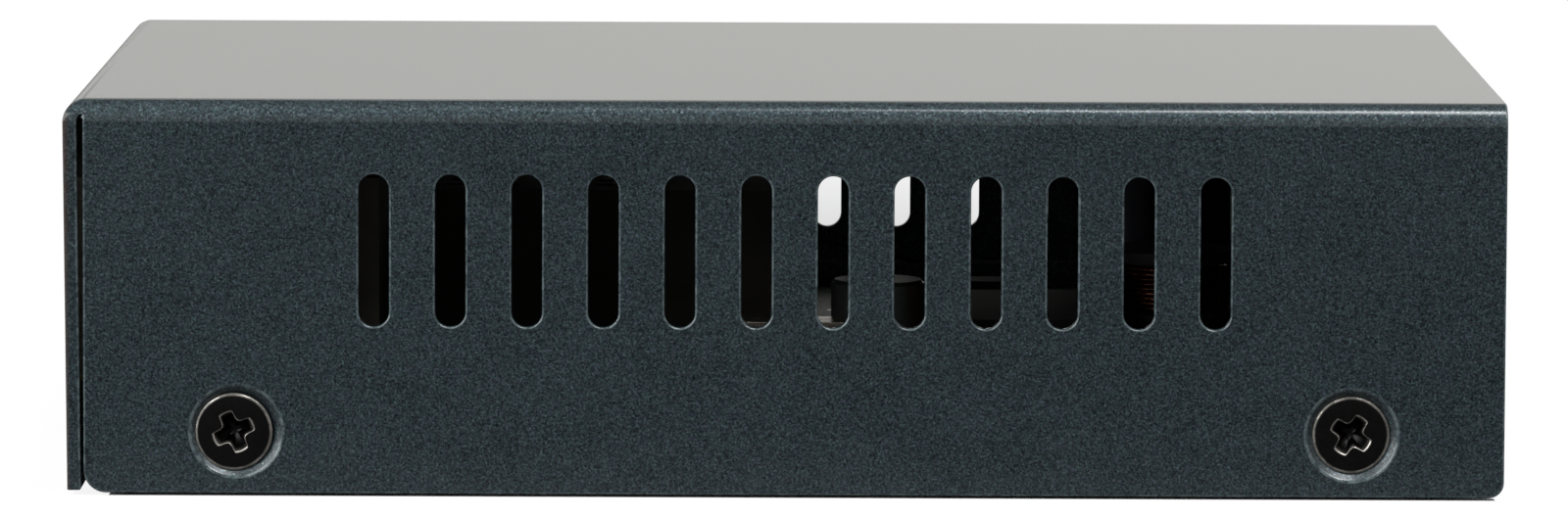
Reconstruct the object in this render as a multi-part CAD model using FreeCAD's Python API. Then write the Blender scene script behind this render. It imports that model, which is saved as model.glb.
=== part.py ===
import FreeCAD, Part
import math
import os

os.makedirs("parts", exist_ok=True)

V = FreeCAD.Vector

# Fibre media converter: a network socket and a fibre module slot on one board in a folded steel case.
# Origin: centre of the underside. -X is the front wall with the ports, +Z is up. All sizes in mm.

# folded case
case_length = 94.3
case_width = 70.0
case_height = 26.0
sheet = 0.9                   # steel sheet of cover and base
bend_radius = 1.5             # outside of every fold
front_lean = 0.25             # the front wall is folded slightly past square
seam_gap = 0.42               # open corner seam between front wall and side wall, at the top
cover_lift = 0.15             # lower edges of the cover's sides above the underside
front_wall_lift = 0.3         # lower edge of the front wall above the underside
case_fit = 0.1                # between cover and base
rear_recess = 0.3             # rear wall inside the cover's rear edges
front_corner = 1.5            # rounded lower corners of the cover's sides
rear_corner = 1.0
flange_height = 8.6           # upturned sides of the base
lip_height = 4.0              # upturned front of the base
corner_relief = 0.5           # notch beside the folds in each corner of the base

# ventilation slots in both sides
slot_count = 12
slot_pitch = 5.0
slot_width = 2.0
slot_length = 10.0
slot_height = 16.15           # middle of the slots above the underside

# countersunk cover screws, two in each side
screw_end_distance = 10.0     # from the ends of a side wall
screw_height = 4.25
screw_radius = 1.5
screw_length = 4.0
head_radius = 2.5
head_sink = 0.35              # head face below the wall's surface
head_land = 0.15
seat_gap = 0.03
thread_gap = 0.03
collar_wall = 0.8             # drawn collar round each tapped hole of the base
collar_length = 1.2
recess_span = 2.8             # cross recess of the screws, tip to tip
recess_arm = 0.96
recess_depth = 1.15
recess_corner = 0.3
recess_turns = {"front_near": 24.0, "rear_near": -33.0, "front_far": 71.0, "rear_far": 12.0}

# circuit board on standoffs
board_height = 5.5            # underside of the board
board_thickness = 1.6
board_front_gap = 0.4
board_rear_gap = 0.5
board_side_gap = 2.9
board_corner = 1.0
standoff_flats = 5.0
standoff_spigot = 2.0         # radius of the pressed end in the base
standoff_lift = 0.05          # pressed end above the underside
board_screw_radius = 1.25
board_screw_length = 5.0
board_screw_head = 2.7
board_screw_head_height = 1.8
board_hole_gap = 0.25
board_screw_side = 4.2        # board screws from the board's side edges
board_screw_rear = 5.8        # rear pair from the board's rear edge
board_screw_behind_jack = 7.25
board_screw_front = 10.6      # far front one from the board's front edge

# network socket
jack_from_side = 15.0         # socket's middle from the near side of the case
jack_length = 20.15
jack_width = 16.0
jack_height = 13.2
jack_sheet = 0.25
jack_fit = 0.05
jack_cutout_gap = 0.35
socket_width = 11.8
socket_height = 6.8
socket_floor = 3.3            # socket floor above the board
socket_depth = 14.0
latch_width = 6.4
latch_depth = 1.5
contact_count = 8
contact_pitch = 1.02
contact_size = 0.35
contact_drop = 2.3            # contact tips below the socket's roof
jack_light_width = 3.0
jack_light_height = 1.7
jack_light_depth = 6.0
jack_light_spread = 5.6       # from the socket's middle
post_width = 1.6
post_drop = 1.1               # shield posts below the board

# fibre module cage
cage_middle = 8.0
cage_length = 48.7
cage_width = 14.2
cage_height = 9.75
cage_sheet = 0.3
cage_cutout_gap = 0.65
cage_pin_count = 5
cage_pin_pitch = 9.5
cage_pin_width = 0.8
cage_notch_depth = 1.9        # board cut back under the cage's mouth
vent_rows = 3
vent_columns = 9
vent_pitch = 3.4
vent_radius = 0.9             # corners of the hexagonal vents
finger_width = 1.7
finger_pitch = 2.4
finger_length = 2.4
finger_bulge = 0.45
finger_sheet = 0.15
finger_band = 0.8
host_length = 8.6
host_width = 12.2
host_height = 7.0
host_rear_gap = 0.6
card_slot_width = 10.4
card_slot_height = 1.3
card_slot_level = 4.3         # middle of the card slot above the board
card_slot_depth = 6.0
host_contact_count = 10
host_contact_pitch = 0.8
host_contact_size = 0.3

# status lights
light_from_side = 11.0        # middle of the lights from the far side of the case
light_columns = 2
light_rows = 3
light_pitch_y = 4.8
light_pitch_z = 4.3
light_first_height = 2.6      # lowest light above the board
light_radius = 1.45
light_length = 5.4
light_hole_gap = 0.12
holder_depth = 5.8
holder_margin = 2.3
holder_gap = 0.45             # holder behind the front wall

# option switch with four sliding levers
lever_count = 4
lever_pitch = 2.54
lever_travel = 1.5
knob_width = 1.1
knob_height = 1.5
knob_reach = 0.8              # knob beyond the switch's face
lever_gap = 0.1               # beside a lever
lever_end_gap = 0.15          # above and below a lever at its limits
shoe_width = 1.7
shoe_height = 2.4
shoe_depth = 1.3
switch_face = 0.8             # front plate of the switch
switch_middle = -8.0
switch_height = 6.6
switch_depth = 5.0
switch_wall = 0.77            # outside the first and last lever's pitch
switch_level = 3.4            # middle of the travel above the board
switch_gap = 0.2              # behind the rear wall
window_margin = 0.8           # rear window round the levers' slots

# power inlet
inlet_from_side = 18.0        # inlet's axis from the far side of the case
inlet_width = 9.0
inlet_height = 11.0
inlet_depth = 14.0
inlet_flange = 3.2
inlet_axis = 6.4              # axis above the board
inlet_bore = 3.15
inlet_bore_depth = 9.6
inlet_pin_radius = 1.0
inlet_pin_setback = 0.8
inlet_pin_root = 1.5
inlet_root_radius = 1.4
inlet_pin_gap = 0.02
inlet_hole_radius = 4.6
inlet_gap = 0.2               # behind the rear wall
spring_sheet = 0.3
spring_width = 2.4
spring_slot_gap = 0.1
spring_slot_depth = 0.9

# parts on the board; a place is (x, y) from the middle of the case unless it says otherwise
main_chip_place = (14.5, -1.0)
main_chip_length = 14.0
main_chip_width = 20.0
main_chip_height = 2.1
line_chip_behind_jack = 15.75
line_chip_y = -20.0
line_chip_size = 9.0
line_chip_height = 1.0
power_chip_from_rear = 12.45   # from the board's rear edge
power_chip_y = -19.0
power_chip_length = 5.0
power_chip_width = 6.2
power_chip_height = 1.6
memory_chip_place = (14.5, 22.0)
memory_chip_length = 4.9
memory_chip_width = 3.9
memory_chip_height = 1.5
low_capacitor_place = (6.3, -16.0)
low_capacitor_radius = 3.15
low_capacitor_height = 4.4
capacitor_foot = 1.0
tall_capacitor_place = (25.5, 24.0)
tall_capacitor_radius = 4.0
tall_capacitor_height = 11.5
capacitor_bead = 0.25
inductor_place = (27.0, 8.0)
inductor_radius = 4.4
inductor_post = 2.0
inductor_height = 5.2
inductor_flange = 0.9
winding_gap = 0.1
crystal_behind_jack = 27.75
crystal_y = -24.0
crystal_length = 11.0
crystal_width = 4.6
crystal_height = 3.5
crystal_rim = 0.4
small_part_length = 2.0
small_part_width = 1.25
small_part_height = 0.9
small_part_count = 6
small_part_pitch = 2.9
small_part_rows = ((-15.0, -11.5), (-15.0, -7.0), (-22.0, 20.0))
small_part_rear_row = (25.0, -25.5)   # x from the board's rear edge

# places that follow from the sizes above
front_x = -case_length / 2
rear_x = case_length / 2
half_width = case_width / 2
bend_inner = bend_radius - sheet
side_inner = half_width - sheet
side_front = front_x + sheet + seam_gap
side_middle = (side_front + rear_x) / 2
lean = math.asin(front_lean / (case_height - bend_radius - front_wall_lift))
port_front = front_x + front_lean
base_half = side_inner - case_fit
flange_inner = base_half - sheet
lip_front = front_x + sheet + front_lean + case_fit
lip_rear = lip_front + sheet
wall_rear = rear_x - rear_recess
wall_inner = wall_rear - sheet
wall_top = case_height - sheet - case_fit
board_top = board_height + board_thickness
board_front = lip_rear + board_front_gap
board_rear = wall_inner - board_rear_gap
board_half = flange_inner - board_side_gap
jack_middle = -half_width + jack_from_side
light_middle = half_width - light_from_side
inlet_middle = half_width - inlet_from_side
jack_rear = port_front + jack_length
countersink = head_radius + head_sink + head_land + seat_gap
tapped_radius = screw_radius + thread_gap
standoff_bore = board_screw_radius + thread_gap
cage_low = cage_middle - cage_width / 2
cage_high = cage_middle + cage_width / 2
cage_rear = port_front + cage_length
cage_top = board_top + cage_height
jack_low = jack_middle - jack_width / 2
jack_high = jack_middle + jack_width / 2
jack_top = board_top + jack_height
socket_low = board_top + socket_floor
socket_top = socket_low + socket_height
switch_front = wall_inner - switch_gap
switch_centre = board_top + switch_level
inlet_front = wall_inner - inlet_gap
inlet_height_z = board_top + inlet_axis
holder_front = front_x + sheet + front_lean + holder_gap
line_chip_place = (jack_rear + line_chip_behind_jack, line_chip_y)
power_chip_place = (board_rear - power_chip_from_rear, power_chip_y)
crystal_place = (jack_rear + crystal_behind_jack, crystal_y)
board_screw_y = board_half - board_screw_side
board_screw_places = {
    "front_near": (jack_rear + board_screw_behind_jack, -board_screw_y),
    "front_far": (board_front + board_screw_front, board_screw_y),
    "rear_near": (board_rear - board_screw_rear, -board_screw_y),
    "rear_far": (board_rear - board_screw_rear, board_screw_y),
}
screw_spots = {
    "front_near": (side_front + screw_end_distance, -1),
    "rear_near": (rear_x - screw_end_distance, -1),
    "front_far": (side_front + screw_end_distance, 1),
    "rear_far": (rear_x - screw_end_distance, 1),
}


def block(x0, x1, y0, y1, z0, z1):
    return Part.makeBox(x1 - x0, y1 - y0, z1 - z0, V(x0, y0, z0))


def rod(radius, start, direction, length):
    return Part.makeCylinder(radius, length, start, direction)


def place(plane, a, b, c):
    """A point from two coordinates in a plane and its distance along the plane's normal."""
    if plane == "xy":
        return V(a, b, c)
    if plane == "yz":
        return V(c, a, b)
    return V(a, c, b)


def outline(corners, plane, level):
    """Closed wire through corners given as (a, b, radius), each rounded by its radius."""
    edges = []
    last_end = None
    first_start = None
    for index, (a, b, radius) in enumerate(corners):
        before = corners[index - 1]
        after = corners[(index + 1) % len(corners)]
        corner = V(a, b, 0)
        back = (V(before[0], before[1], 0) - corner).normalize()
        ahead = (V(after[0], after[1], 0) - corner).normalize()
        half = back.getAngle(ahead) / 2
        start = corner + back * (radius / math.tan(half))
        end = corner + ahead * (radius / math.tan(half))
        if last_end is not None and start.distanceToPoint(last_end) > 1e-6:
            edges.append(line(last_end, start, plane, level))
        if radius > 0:
            middle = corner + (back + ahead).normalize() * (radius / math.sin(half) - radius)
            points = [place(plane, p.x, p.y, level) for p in (start, middle, end)]
            edges.append(Part.Arc(*points).toShape())
        if first_start is None:
            first_start = start
        last_end = end
    if last_end.distanceToPoint(first_start) > 1e-6:
        edges.append(line(last_end, first_start, plane, level))
    return Part.Wire(edges)


def line(start, end, plane, level):
    return Part.makeLine(place(plane, start.x, start.y, level), place(plane, end.x, end.y, level))


def prism(corners, plane, low, high):
    """Outline extruded from low to high along its plane's normal."""
    face = Part.Face(outline(corners, plane, low))
    return face.extrude(place(plane, 0, 0, high - low))


def rectangle(a0, a1, b0, b1, radius):
    return [(a0, b0, radius), (a1, b0, radius), (a1, b1, radius), (a0, b1, radius)]


def revolved(profile, base, axis):
    """Solid of revolution from (radius, height) points, standing on base along axis."""
    points = [V(radius, 0, height) for radius, height in profile]
    face = Part.Face(Part.makePolygon(points + [points[0]]))
    solid = face.revolve(V(0, 0, 0), V(0, 0, 1), 360)
    solid.Placement = FreeCAD.Placement(base, FreeCAD.Rotation(V(0, 0, 1), axis))
    return solid


def hexagon(a, b, radius):
    angles = [math.radians(60 * k) for k in range(6)]
    return [(a + radius * math.cos(angle), b + radius * math.sin(angle), 0) for angle in angles]


def joined(shapes):
    return shapes[0].fuse(shapes[1:]).removeSplitter()


def row(count, pitch, middle):
    return [middle + pitch * (index - (count - 1) / 2) for index in range(count)]


# ---- cover: top, two sides and front wall folded from one sheet ----

def cover_channel():
    low = cover_lift
    outer = [(-half_width, low, 0), (-half_width, case_height, bend_radius),
             (half_width, case_height, bend_radius), (half_width, low, 0)]
    inner = [(side_inner, low, 0), (side_inner, case_height - sheet, bend_inner),
             (-side_inner, case_height - sheet, bend_inner), (-side_inner, low, 0)]
    channel = prism(outer + inner, "yz", side_front, rear_x)
    # side view: the front fold rounds the top, and the lower corners are rounded
    bend_middle = front_x + bend_radius
    view = [(side_front, low, front_corner), (rear_x, low, rear_corner),
            (rear_x, case_height, 0), (side_front, case_height, 0)]
    silhouette = prism(view, "xz", -half_width, half_width)
    fold = block(front_x, bend_middle, -half_width, half_width, case_height - bend_radius, case_height)
    fold = fold.cut(rod(bend_radius, V(bend_middle, -half_width, case_height - bend_radius),
                        V(0, 1, 0), case_width))
    return channel.common(silhouette).cut(fold)


def front_wall():
    centre = V(front_x + bend_radius, case_height - bend_radius, 0)
    inward = V(math.cos(lean), math.sin(lean), 0)
    down = V(math.sin(lean), -math.cos(lean), 0)
    touch = centre - inward * bend_radius
    corner = touch - down * ((case_height - touch.y) / math.cos(lean))
    foot = touch + down * ((touch.y - front_wall_lift) / math.cos(lean))
    inner_foot = foot + inward * sheet
    rise = (case_height - sheet - inner_foot.y) / math.cos(lean)
    inner_corner = inner_foot - down * rise
    leg_end = centre.x + sheet
    profile = [(leg_end, case_height, 0), (corner.x, case_height, bend_radius), (foot.x, foot.y, 0),
               (inner_foot.x, inner_foot.y, 0), (inner_corner.x, case_height - sheet, bend_inner),
               (leg_end, case_height - sheet, 0)]
    wall = prism(profile, "xz", -half_width, half_width)
    section = [(-half_width, 0, 0), (half_width, 0, 0), (half_width, case_height, bend_radius),
               (-half_width, case_height, bend_radius)]
    return wall.common(prism(section, "yz", front_x, leg_end))


def side_slots():
    end = slot_width / 2
    slots = []
    for x in row(slot_count, slot_pitch, side_middle):
        shape = rectangle(x - end, x + end, slot_height - slot_length / 2,
                          slot_height + slot_length / 2, end * 0.999)
        slots.append(prism(shape, "xz", -half_width - sheet, half_width + sheet))
    return slots


def countersinks(surface, bore):
    """Cones sunk from the cover's surface, with a straight bore, at every cover screw."""
    tools = []
    for x, side in screw_spots.values():
        mouth = V(x, side * half_width, screw_height)
        inward = V(0, -side, 0)
        depth = countersink - bore
        tools.append(Part.makeCone(countersink, bore, depth, mouth, inward))
        tools.append(rod(bore, mouth + inward * surface, inward, depth + collar_length + 2 * sheet))
    return tools


def front_cutouts():
    gap = jack_cutout_gap
    wide = cage_cutout_gap
    jack = rectangle(jack_low - gap, jack_high + gap, board_top - gap, jack_top + gap, gap)
    cage = rectangle(cage_low - wide, cage_high + wide, board_top - wide, cage_top + wide, wide / 2)
    tools = [prism(shape, "yz", front_x - sheet, lip_rear) for shape in (jack, cage)]
    for y, z in light_spots():
        tools.append(rod(light_radius + light_hole_gap, V(front_x - sheet, y, z), V(1, 0, 0), 4 * sheet))
    return tools


def cover():
    shell = joined([cover_channel(), front_wall()])
    cone_end = countersink - sheet
    shell = shell.cut(side_slots() + front_cutouts())
    return shell.cut(countersinks(0, cone_end))


# ---- base: floor, side flanges, front lip and rear wall folded from one sheet ----

def base():
    outer = [(-base_half, flange_height, 0), (-base_half, 0, bend_radius),
             (base_half, 0, bend_radius), (base_half, flange_height, 0)]
    inner = [(flange_inner, flange_height, 0), (flange_inner, sheet, bend_inner),
             (-flange_inner, sheet, bend_inner), (-flange_inner, flange_height, 0)]
    notch = bend_radius + corner_relief
    channel = prism(outer + inner, "yz", lip_front + notch, wall_rear - notch)
    strip = [(lip_front, lip_height, 0), (lip_front, 0, bend_radius), (wall_rear, 0, bend_radius),
             (wall_rear, wall_top, 0), (wall_inner, wall_top, 0), (wall_inner, sheet, bend_inner),
             (lip_rear, sheet, bend_inner), (lip_rear, lip_height, 0)]
    lengthwise = prism(strip, "xz", -base_half + notch, base_half - notch)
    rear = [(-base_half, notch, 0), (base_half, notch, 0), (base_half, wall_top, bend_radius),
            (-base_half, wall_top, bend_radius)]
    tray = joined([channel, lengthwise, prism(rear, "yz", wall_inner, wall_rear)] + collars())
    return tray.cut(base_tools())


def collars():
    rings = []
    for x, side in screw_spots.values():
        start = V(x, side * (flange_inner + sheet / 2), screw_height)
        rings.append(rod(tapped_radius + collar_wall, start, V(0, -side, 0), collar_length + sheet / 2))
    return rings


def base_tools():
    tools = countersinks(0, tapped_radius)
    for x, y in board_screw_places.values():
        tools.append(rod(standoff_spigot + seat_gap, V(x, y, -sheet), V(0, 0, 1), 3 * sheet))
    slot = knob_height + lever_travel + 2 * lever_end_gap
    half = lever_pitch * (lever_count - 1) / 2 + knob_width / 2 + lever_gap
    window = rectangle(switch_middle - half - window_margin, switch_middle + half + window_margin,
                       switch_centre - slot / 2 - window_margin, switch_centre + slot / 2 + window_margin,
                       window_margin / 2)
    tools.append(prism(window, "yz", wall_inner - sheet, rear_x))
    tools.append(rod(inlet_hole_radius, V(wall_inner - sheet, inlet_middle, inlet_height_z), V(1, 0, 0),
                     3 * sheet))
    return tools


# ---- screws and standoffs ----

def cross_recess(depth):
    tip = recess_span / 2
    arm = recess_arm / 2
    quarter = [(tip, -arm), (tip, arm), (arm, arm)]
    corners = []
    for turn in range(4):
        for index, (a, b) in enumerate(quarter):
            for _ in range(turn):
                a, b = -b, a
            corners.append((a, b, recess_corner if index == 2 else recess_corner / 2))
    cross = prism(corners, "xy", -depth, 0.1)
    return cross.common(Part.makeCone(tip / 4, tip * 1.1, depth + 0.1, V(0, 0, -depth)))


def cover_screw(name):
    x, side = screw_spots[name]
    taper = head_radius - screw_radius
    point = screw_radius / 3
    profile = [(0, 0), (head_radius, 0), (head_radius, -head_land), (screw_radius, -head_land - taper),
               (screw_radius, point - screw_length), (screw_radius - point, -screw_length),
               (0, -screw_length)]
    screw = revolved(profile, V(0, 0, 0), V(0, 0, 1)).cut(cross_recess(recess_depth))
    screw.rotate(V(0, 0, 0), V(0, 0, 1), recess_turns[name])
    screw.rotate(V(0, 0, 0), V(1, 0, 0), -90 * side)
    screw.translate(V(x, side * (half_width - head_sink), screw_height))
    return screw


def board_screw(name):
    x, y = board_screw_places[name]
    crown = board_screw_head_height / 3
    profile = [(0, board_screw_head_height), (board_screw_head - 2 * crown, board_screw_head_height),
               (board_screw_head - crown / 2, board_screw_head_height - crown / 2),
               (board_screw_head, board_screw_head_height - 2 * crown), (board_screw_head, 0),
               (board_screw_radius, 0), (board_screw_radius, -board_screw_length), (0, -board_screw_length)]
    recess = cross_recess(recess_depth)
    recess.translate(V(0, 0, board_screw_head_height))
    screw = revolved(profile, V(0, 0, 0), V(0, 0, 1)).cut(recess)
    screw.rotate(V(0, 0, 0), V(0, 0, 1), recess_turns[name])
    screw.translate(V(x, y, board_top))
    return screw


def standoff(name):
    x, y = board_screw_places[name]
    body = prism(hexagon(x, y, standoff_flats / math.sqrt(3)), "xy", sheet, board_height)
    spigot = rod(standoff_spigot, V(x, y, standoff_lift), V(0, 0, 1), sheet)
    depth = board_screw_length - board_thickness + sheet / 2
    bore = rod(standoff_bore, V(x, y, board_height - depth), V(0, 0, 1), depth)
    return joined([body, spigot]).cut(bore)


# ---- circuit board ----

def cage_pin_spots():
    spots = []
    middle = port_front + cage_length / 2
    for x in row(cage_pin_count, cage_pin_pitch, middle):
        spots.append((x, cage_low + cage_sheet / 2))
        spots.append((x, cage_high - cage_sheet / 2))
    return spots


def jack_post_spots():
    x = port_front + jack_length / 2
    return [(x, jack_low + jack_sheet / 2), (x, jack_high - jack_sheet / 2)]


def circuit_board():
    board = prism(rectangle(board_front, board_rear, -board_half, board_half, board_corner), "xy",
                  board_height, board_top)
    notch_half = cage_width / 2 + cage_cutout_gap
    notch = block(board_front - sheet, board_front + cage_notch_depth, cage_middle - notch_half,
                  cage_middle + notch_half, board_height - sheet, board_top + sheet)
    holes = [notch]
    for x, y in board_screw_places.values():
        holes.append(through_board(x, y, board_screw_radius + board_hole_gap))
    for x, y in cage_pin_spots():
        holes.append(through_board(x, y, cage_pin_width / 2 + board_hole_gap))
    for x, y in jack_post_spots():
        holes.append(through_board(x, y, post_width / 2 + board_hole_gap))
    return board.cut(holes)


def through_board(x, y, radius):
    return rod(radius, V(x, y, board_height - sheet), V(0, 0, 1), board_thickness + 2 * sheet)


# ---- network socket ----

def socket_space(grow, depth):
    """Plug space with its stepped latch notch, open to the front."""
    half = socket_width / 2 + grow
    latch = latch_width / 2 + grow
    key = latch / 2
    floor = socket_low - grow
    low = floor - latch_depth
    corners = [(half, floor), (half, socket_top + grow), (-half, socket_top + grow), (-half, floor),
               (-latch, floor), (-latch, low), (-key, low), (-key, low - latch_depth / 3),
               (key, low - latch_depth / 3), (key, low), (latch, low), (latch, floor)]
    shape = [(jack_middle + y, z, 0) for y, z in corners]
    return prism(shape, "yz", port_front - sheet, port_front + depth)


def jack_light_box(side, grow, depth):
    y = jack_middle + side * jack_light_spread
    half = jack_light_width / 2 + grow
    middle = (socket_top + jack_top - jack_sheet) / 2
    tall = jack_light_height / 2 + grow
    return block(port_front, port_front + depth, y - half, y + half, middle - tall, middle + tall)


def jack_shield():
    s = jack_sheet
    outer = block(port_front, port_front + jack_length, jack_low, jack_high, board_top, jack_top)
    inner = block(port_front + s, port_front + jack_length - s, jack_low + s, jack_high - s,
                  board_top - s, jack_top - s)
    shell = outer.cut([inner, socket_space(jack_fit, 2 * s)])
    shell = shell.cut([jack_light_box(side, jack_fit, 2 * s) for side in (-1, 1)])
    posts = []
    for x, y in jack_post_spots():
        posts.append(block(x - post_width / 2, x + post_width / 2, y - s / 2, y + s / 2,
                           board_height - post_drop, board_top + s))
    return joined([shell] + posts)


def jack_insert():
    s = jack_sheet + jack_fit
    body = block(port_front + s, port_front + jack_length - s, jack_low + s, jack_high - s,
                 board_top, jack_top - s)
    body = body.cut(socket_space(0, socket_depth))
    body = body.cut([jack_light_box(side, jack_fit, jack_light_depth + jack_sheet) for side in (-1, 1)])
    slots = []
    for y in row(contact_count, contact_pitch, jack_middle):
        half = contact_size / 2 + jack_fit
        slots.append(block(port_front + socket_depth / 6, port_front + socket_depth, y - half, y + half,
                           socket_top - contact_size, socket_top + contact_size + 2 * jack_fit))
    return body.cut(slots)


def jack_contacts():
    """Sprung wires that lie in the roof of the socket and slope back into the plug space."""
    front = port_front + socket_depth / 6 + jack_fit
    rear = port_front + socket_depth - jack_fit
    roof = socket_top + contact_size
    dip = socket_top - contact_drop
    wires = []
    for y in row(contact_count, contact_pitch, jack_middle):
        shape = [(front, roof, 0), (front, roof - contact_size, 0), (rear - contact_size, dip, 0),
                 (rear, dip, 0), (rear, dip + contact_size, 0), (front + contact_size * 3, roof, 0)]
        wires.append(prism(shape, "xz", y - contact_size / 2, y + contact_size / 2))
    return Part.makeCompound(wires)


def jack_light(side):
    window = jack_light_box(side, 0, jack_light_depth)
    window.translate(V(jack_sheet / 2, 0, 0))
    return window


# ---- fibre module cage ----

def fibre_cage():
    s = cage_sheet
    outer = block(port_front, cage_rear, cage_low, cage_high, board_top, cage_top)
    inner = block(port_front - s, cage_rear - s, cage_low + s, cage_high - s, board_top + s, cage_top - s)
    host_front = cage_rear - host_rear_gap - host_length
    floor = block(host_front - 2 * s, cage_rear - s, cage_low + s, cage_high - s, board_top - s, board_top + 2 * s)
    cage = outer.cut([inner, floor] + cage_vents())
    pins = []
    for x, y in cage_pin_spots():
        pins.append(block(x - cage_pin_width / 2, x + cage_pin_width / 2, y - s / 2, y + s / 2,
                          board_height - post_drop, board_top + s))
    return joined([cage] + pins)


def cage_vents():
    tools = []
    middle = port_front + cage_length / 2
    for x in row(vent_columns, vent_pitch, middle):
        for y in row(vent_rows, vent_pitch, cage_middle):
            tools.append(prism(hexagon(x, y, vent_radius), "xy", cage_top - 2 * cage_sheet,
                               cage_top + cage_sheet))
    return tools


def finger_profile(start, level, outward):
    """Bowed contact finger in side view, from its band forward to the port's mouth."""
    t = finger_sheet * outward
    rise = finger_bulge * outward
    front = start - finger_length
    top = start - finger_length / 2
    return [(start + finger_band, level, 0), (start + finger_band, level + t, 0), (start, level + t, 0),
            (top, level + rise, 0), (front, level + t, 0), (front, level, 0),
            (top, level + rise - t, 0), (start, level, 0)]


def cage_springs():
    """Contact collar round the cage's mouth, with bowed fingers on all four sides."""
    start = port_front + finger_length + cage_sheet
    end = start + finger_band
    t = finger_sheet
    band = block(start, end, cage_low - t, cage_high + t, board_top - t, cage_top + t)
    pieces = [band.cut(block(start - t, end + t, cage_low, cage_high, board_top, cage_top))]
    across = int((cage_width - finger_width) / finger_pitch) + 1
    upright = int((cage_height - finger_width) / finger_pitch) + 1
    for y in row(across, finger_pitch, cage_middle):
        for level, outward in ((cage_top, 1), (board_top, -1)):
            pieces.append(prism(finger_profile(start, level, outward), "xz",
                                y - finger_width / 2, y + finger_width / 2))
    for z in row(upright, finger_pitch, board_top + cage_height / 2):
        for level, outward in ((cage_high, 1), (cage_low, -1)):
            pieces.append(prism(finger_profile(start, level, outward), "xy",
                                z - finger_width / 2, z + finger_width / 2))
    return joined(pieces)


def host_connector():
    rear = cage_rear - host_rear_gap
    front = rear - host_length
    half = host_width / 2
    slot_z = board_top + card_slot_level
    body = block(front, rear, cage_middle - half, cage_middle + half, board_top, board_top + host_height)
    chamfer = host_height / 6
    edge = [(front, board_top + host_height - chamfer, 0), (front + chamfer, board_top + host_height, 0),
            (front, board_top + host_height, 0)]
    slot = block(front - sheet, front + card_slot_depth, cage_middle - card_slot_width / 2,
                 cage_middle + card_slot_width / 2, slot_z - card_slot_height / 2,
                 slot_z + card_slot_height / 2)
    body = body.cut([prism(edge, "xz", cage_middle - half, cage_middle + half), slot])
    return body.cut(host_contact_boxes(jack_fit))


def host_contact_boxes(grow):
    """Contact strips let into the floor and roof of the card slot."""
    front = cage_rear - host_rear_gap - host_length + host_contact_size
    end = front + card_slot_depth - 2 * host_contact_size
    slot_z = board_top + card_slot_level
    boxes = []
    for y in row(host_contact_count, host_contact_pitch, cage_middle):
        half = host_contact_size / 2 + grow
        for side in (-1, 1):
            near = slot_z + side * (card_slot_height / 2 - host_contact_size / 2)
            far = slot_z + side * (card_slot_height / 2 + host_contact_size / 2 + grow)
            boxes.append(block(front - grow, end + grow, y - half, y + half, min(near, far), max(near, far)))
    return boxes


def host_contacts():
    return Part.makeCompound(host_contact_boxes(0))


# ---- status lights ----

def light_spots():
    spots = []
    for y in row(light_columns, light_pitch_y, light_middle):
        for level in range(light_rows):
            spots.append((y, board_top + light_first_height + level * light_pitch_z))
    return spots


def light_holder():
    half = light_pitch_y * (light_columns - 1) / 2 + holder_margin
    top = board_top + light_first_height + light_pitch_z * (light_rows - 1) + holder_margin
    holder = prism(rectangle(light_middle - half, light_middle + half, board_top, top, light_hole_gap * 4),
                   "yz", holder_front, holder_front + holder_depth)
    bores = []
    for y, z in light_spots():
        bores.append(rod(light_radius + light_hole_gap / 2, V(holder_front - sheet, y, z), V(1, 0, 0),
                         light_length + sheet - (holder_front - port_front) + light_hole_gap))
    return holder.cut(bores)


def status_light(y, z):
    body = rod(light_radius, V(port_front + light_radius, y, z), V(1, 0, 0), light_length - light_radius)
    dome = Part.makeSphere(light_radius, V(port_front + light_radius, y, z))
    return joined([body, dome])


# ---- option switch ----

def lever_places():
    return row(lever_count, lever_pitch, switch_middle)


def lever_low():
    """Middle height of a lever at the lower end of its travel."""
    return switch_centre - lever_travel / 2


def switch_body():
    half = lever_pitch * lever_count / 2 + switch_wall
    body = block(switch_front - switch_depth, switch_front, switch_middle - half, switch_middle + half,
                 board_top, board_top + switch_height)
    tools = []
    slot = (knob_height + lever_travel) / 2 + lever_end_gap
    chamber = (shoe_height + lever_travel) / 2 + lever_end_gap
    for y in lever_places():
        knob = knob_width / 2 + lever_gap
        shoe = shoe_width / 2 + lever_gap
        tools.append(block(switch_front - switch_face - lever_gap, switch_front + sheet, y - knob, y + knob,
                           switch_centre - slot, switch_centre + slot))
        tools.append(block(switch_front - switch_face - shoe_depth - 2 * lever_gap,
                           switch_front - switch_face, y - shoe, y + shoe,
                           switch_centre - chamber, switch_centre + chamber))
    return body.cut(tools)


def switch_lever(y):
    middle = lever_low()
    back = switch_front - switch_face - lever_gap
    shoe = block(back - shoe_depth, back, y - shoe_width / 2, y + shoe_width / 2,
                 middle - shoe_height / 2, middle + shoe_height / 2)
    round_off = knob_width / 5
    nose = [(back - round_off, middle - knob_height / 2, 0),
            (switch_front + knob_reach, middle - knob_height / 2, round_off),
            (switch_front + knob_reach, middle + knob_height / 2, round_off),
            (back - round_off, middle + knob_height / 2, 0)]
    return joined([shoe, prism(nose, "xz", y - knob_width / 2, y + knob_width / 2)])


# ---- power inlet ----

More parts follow.
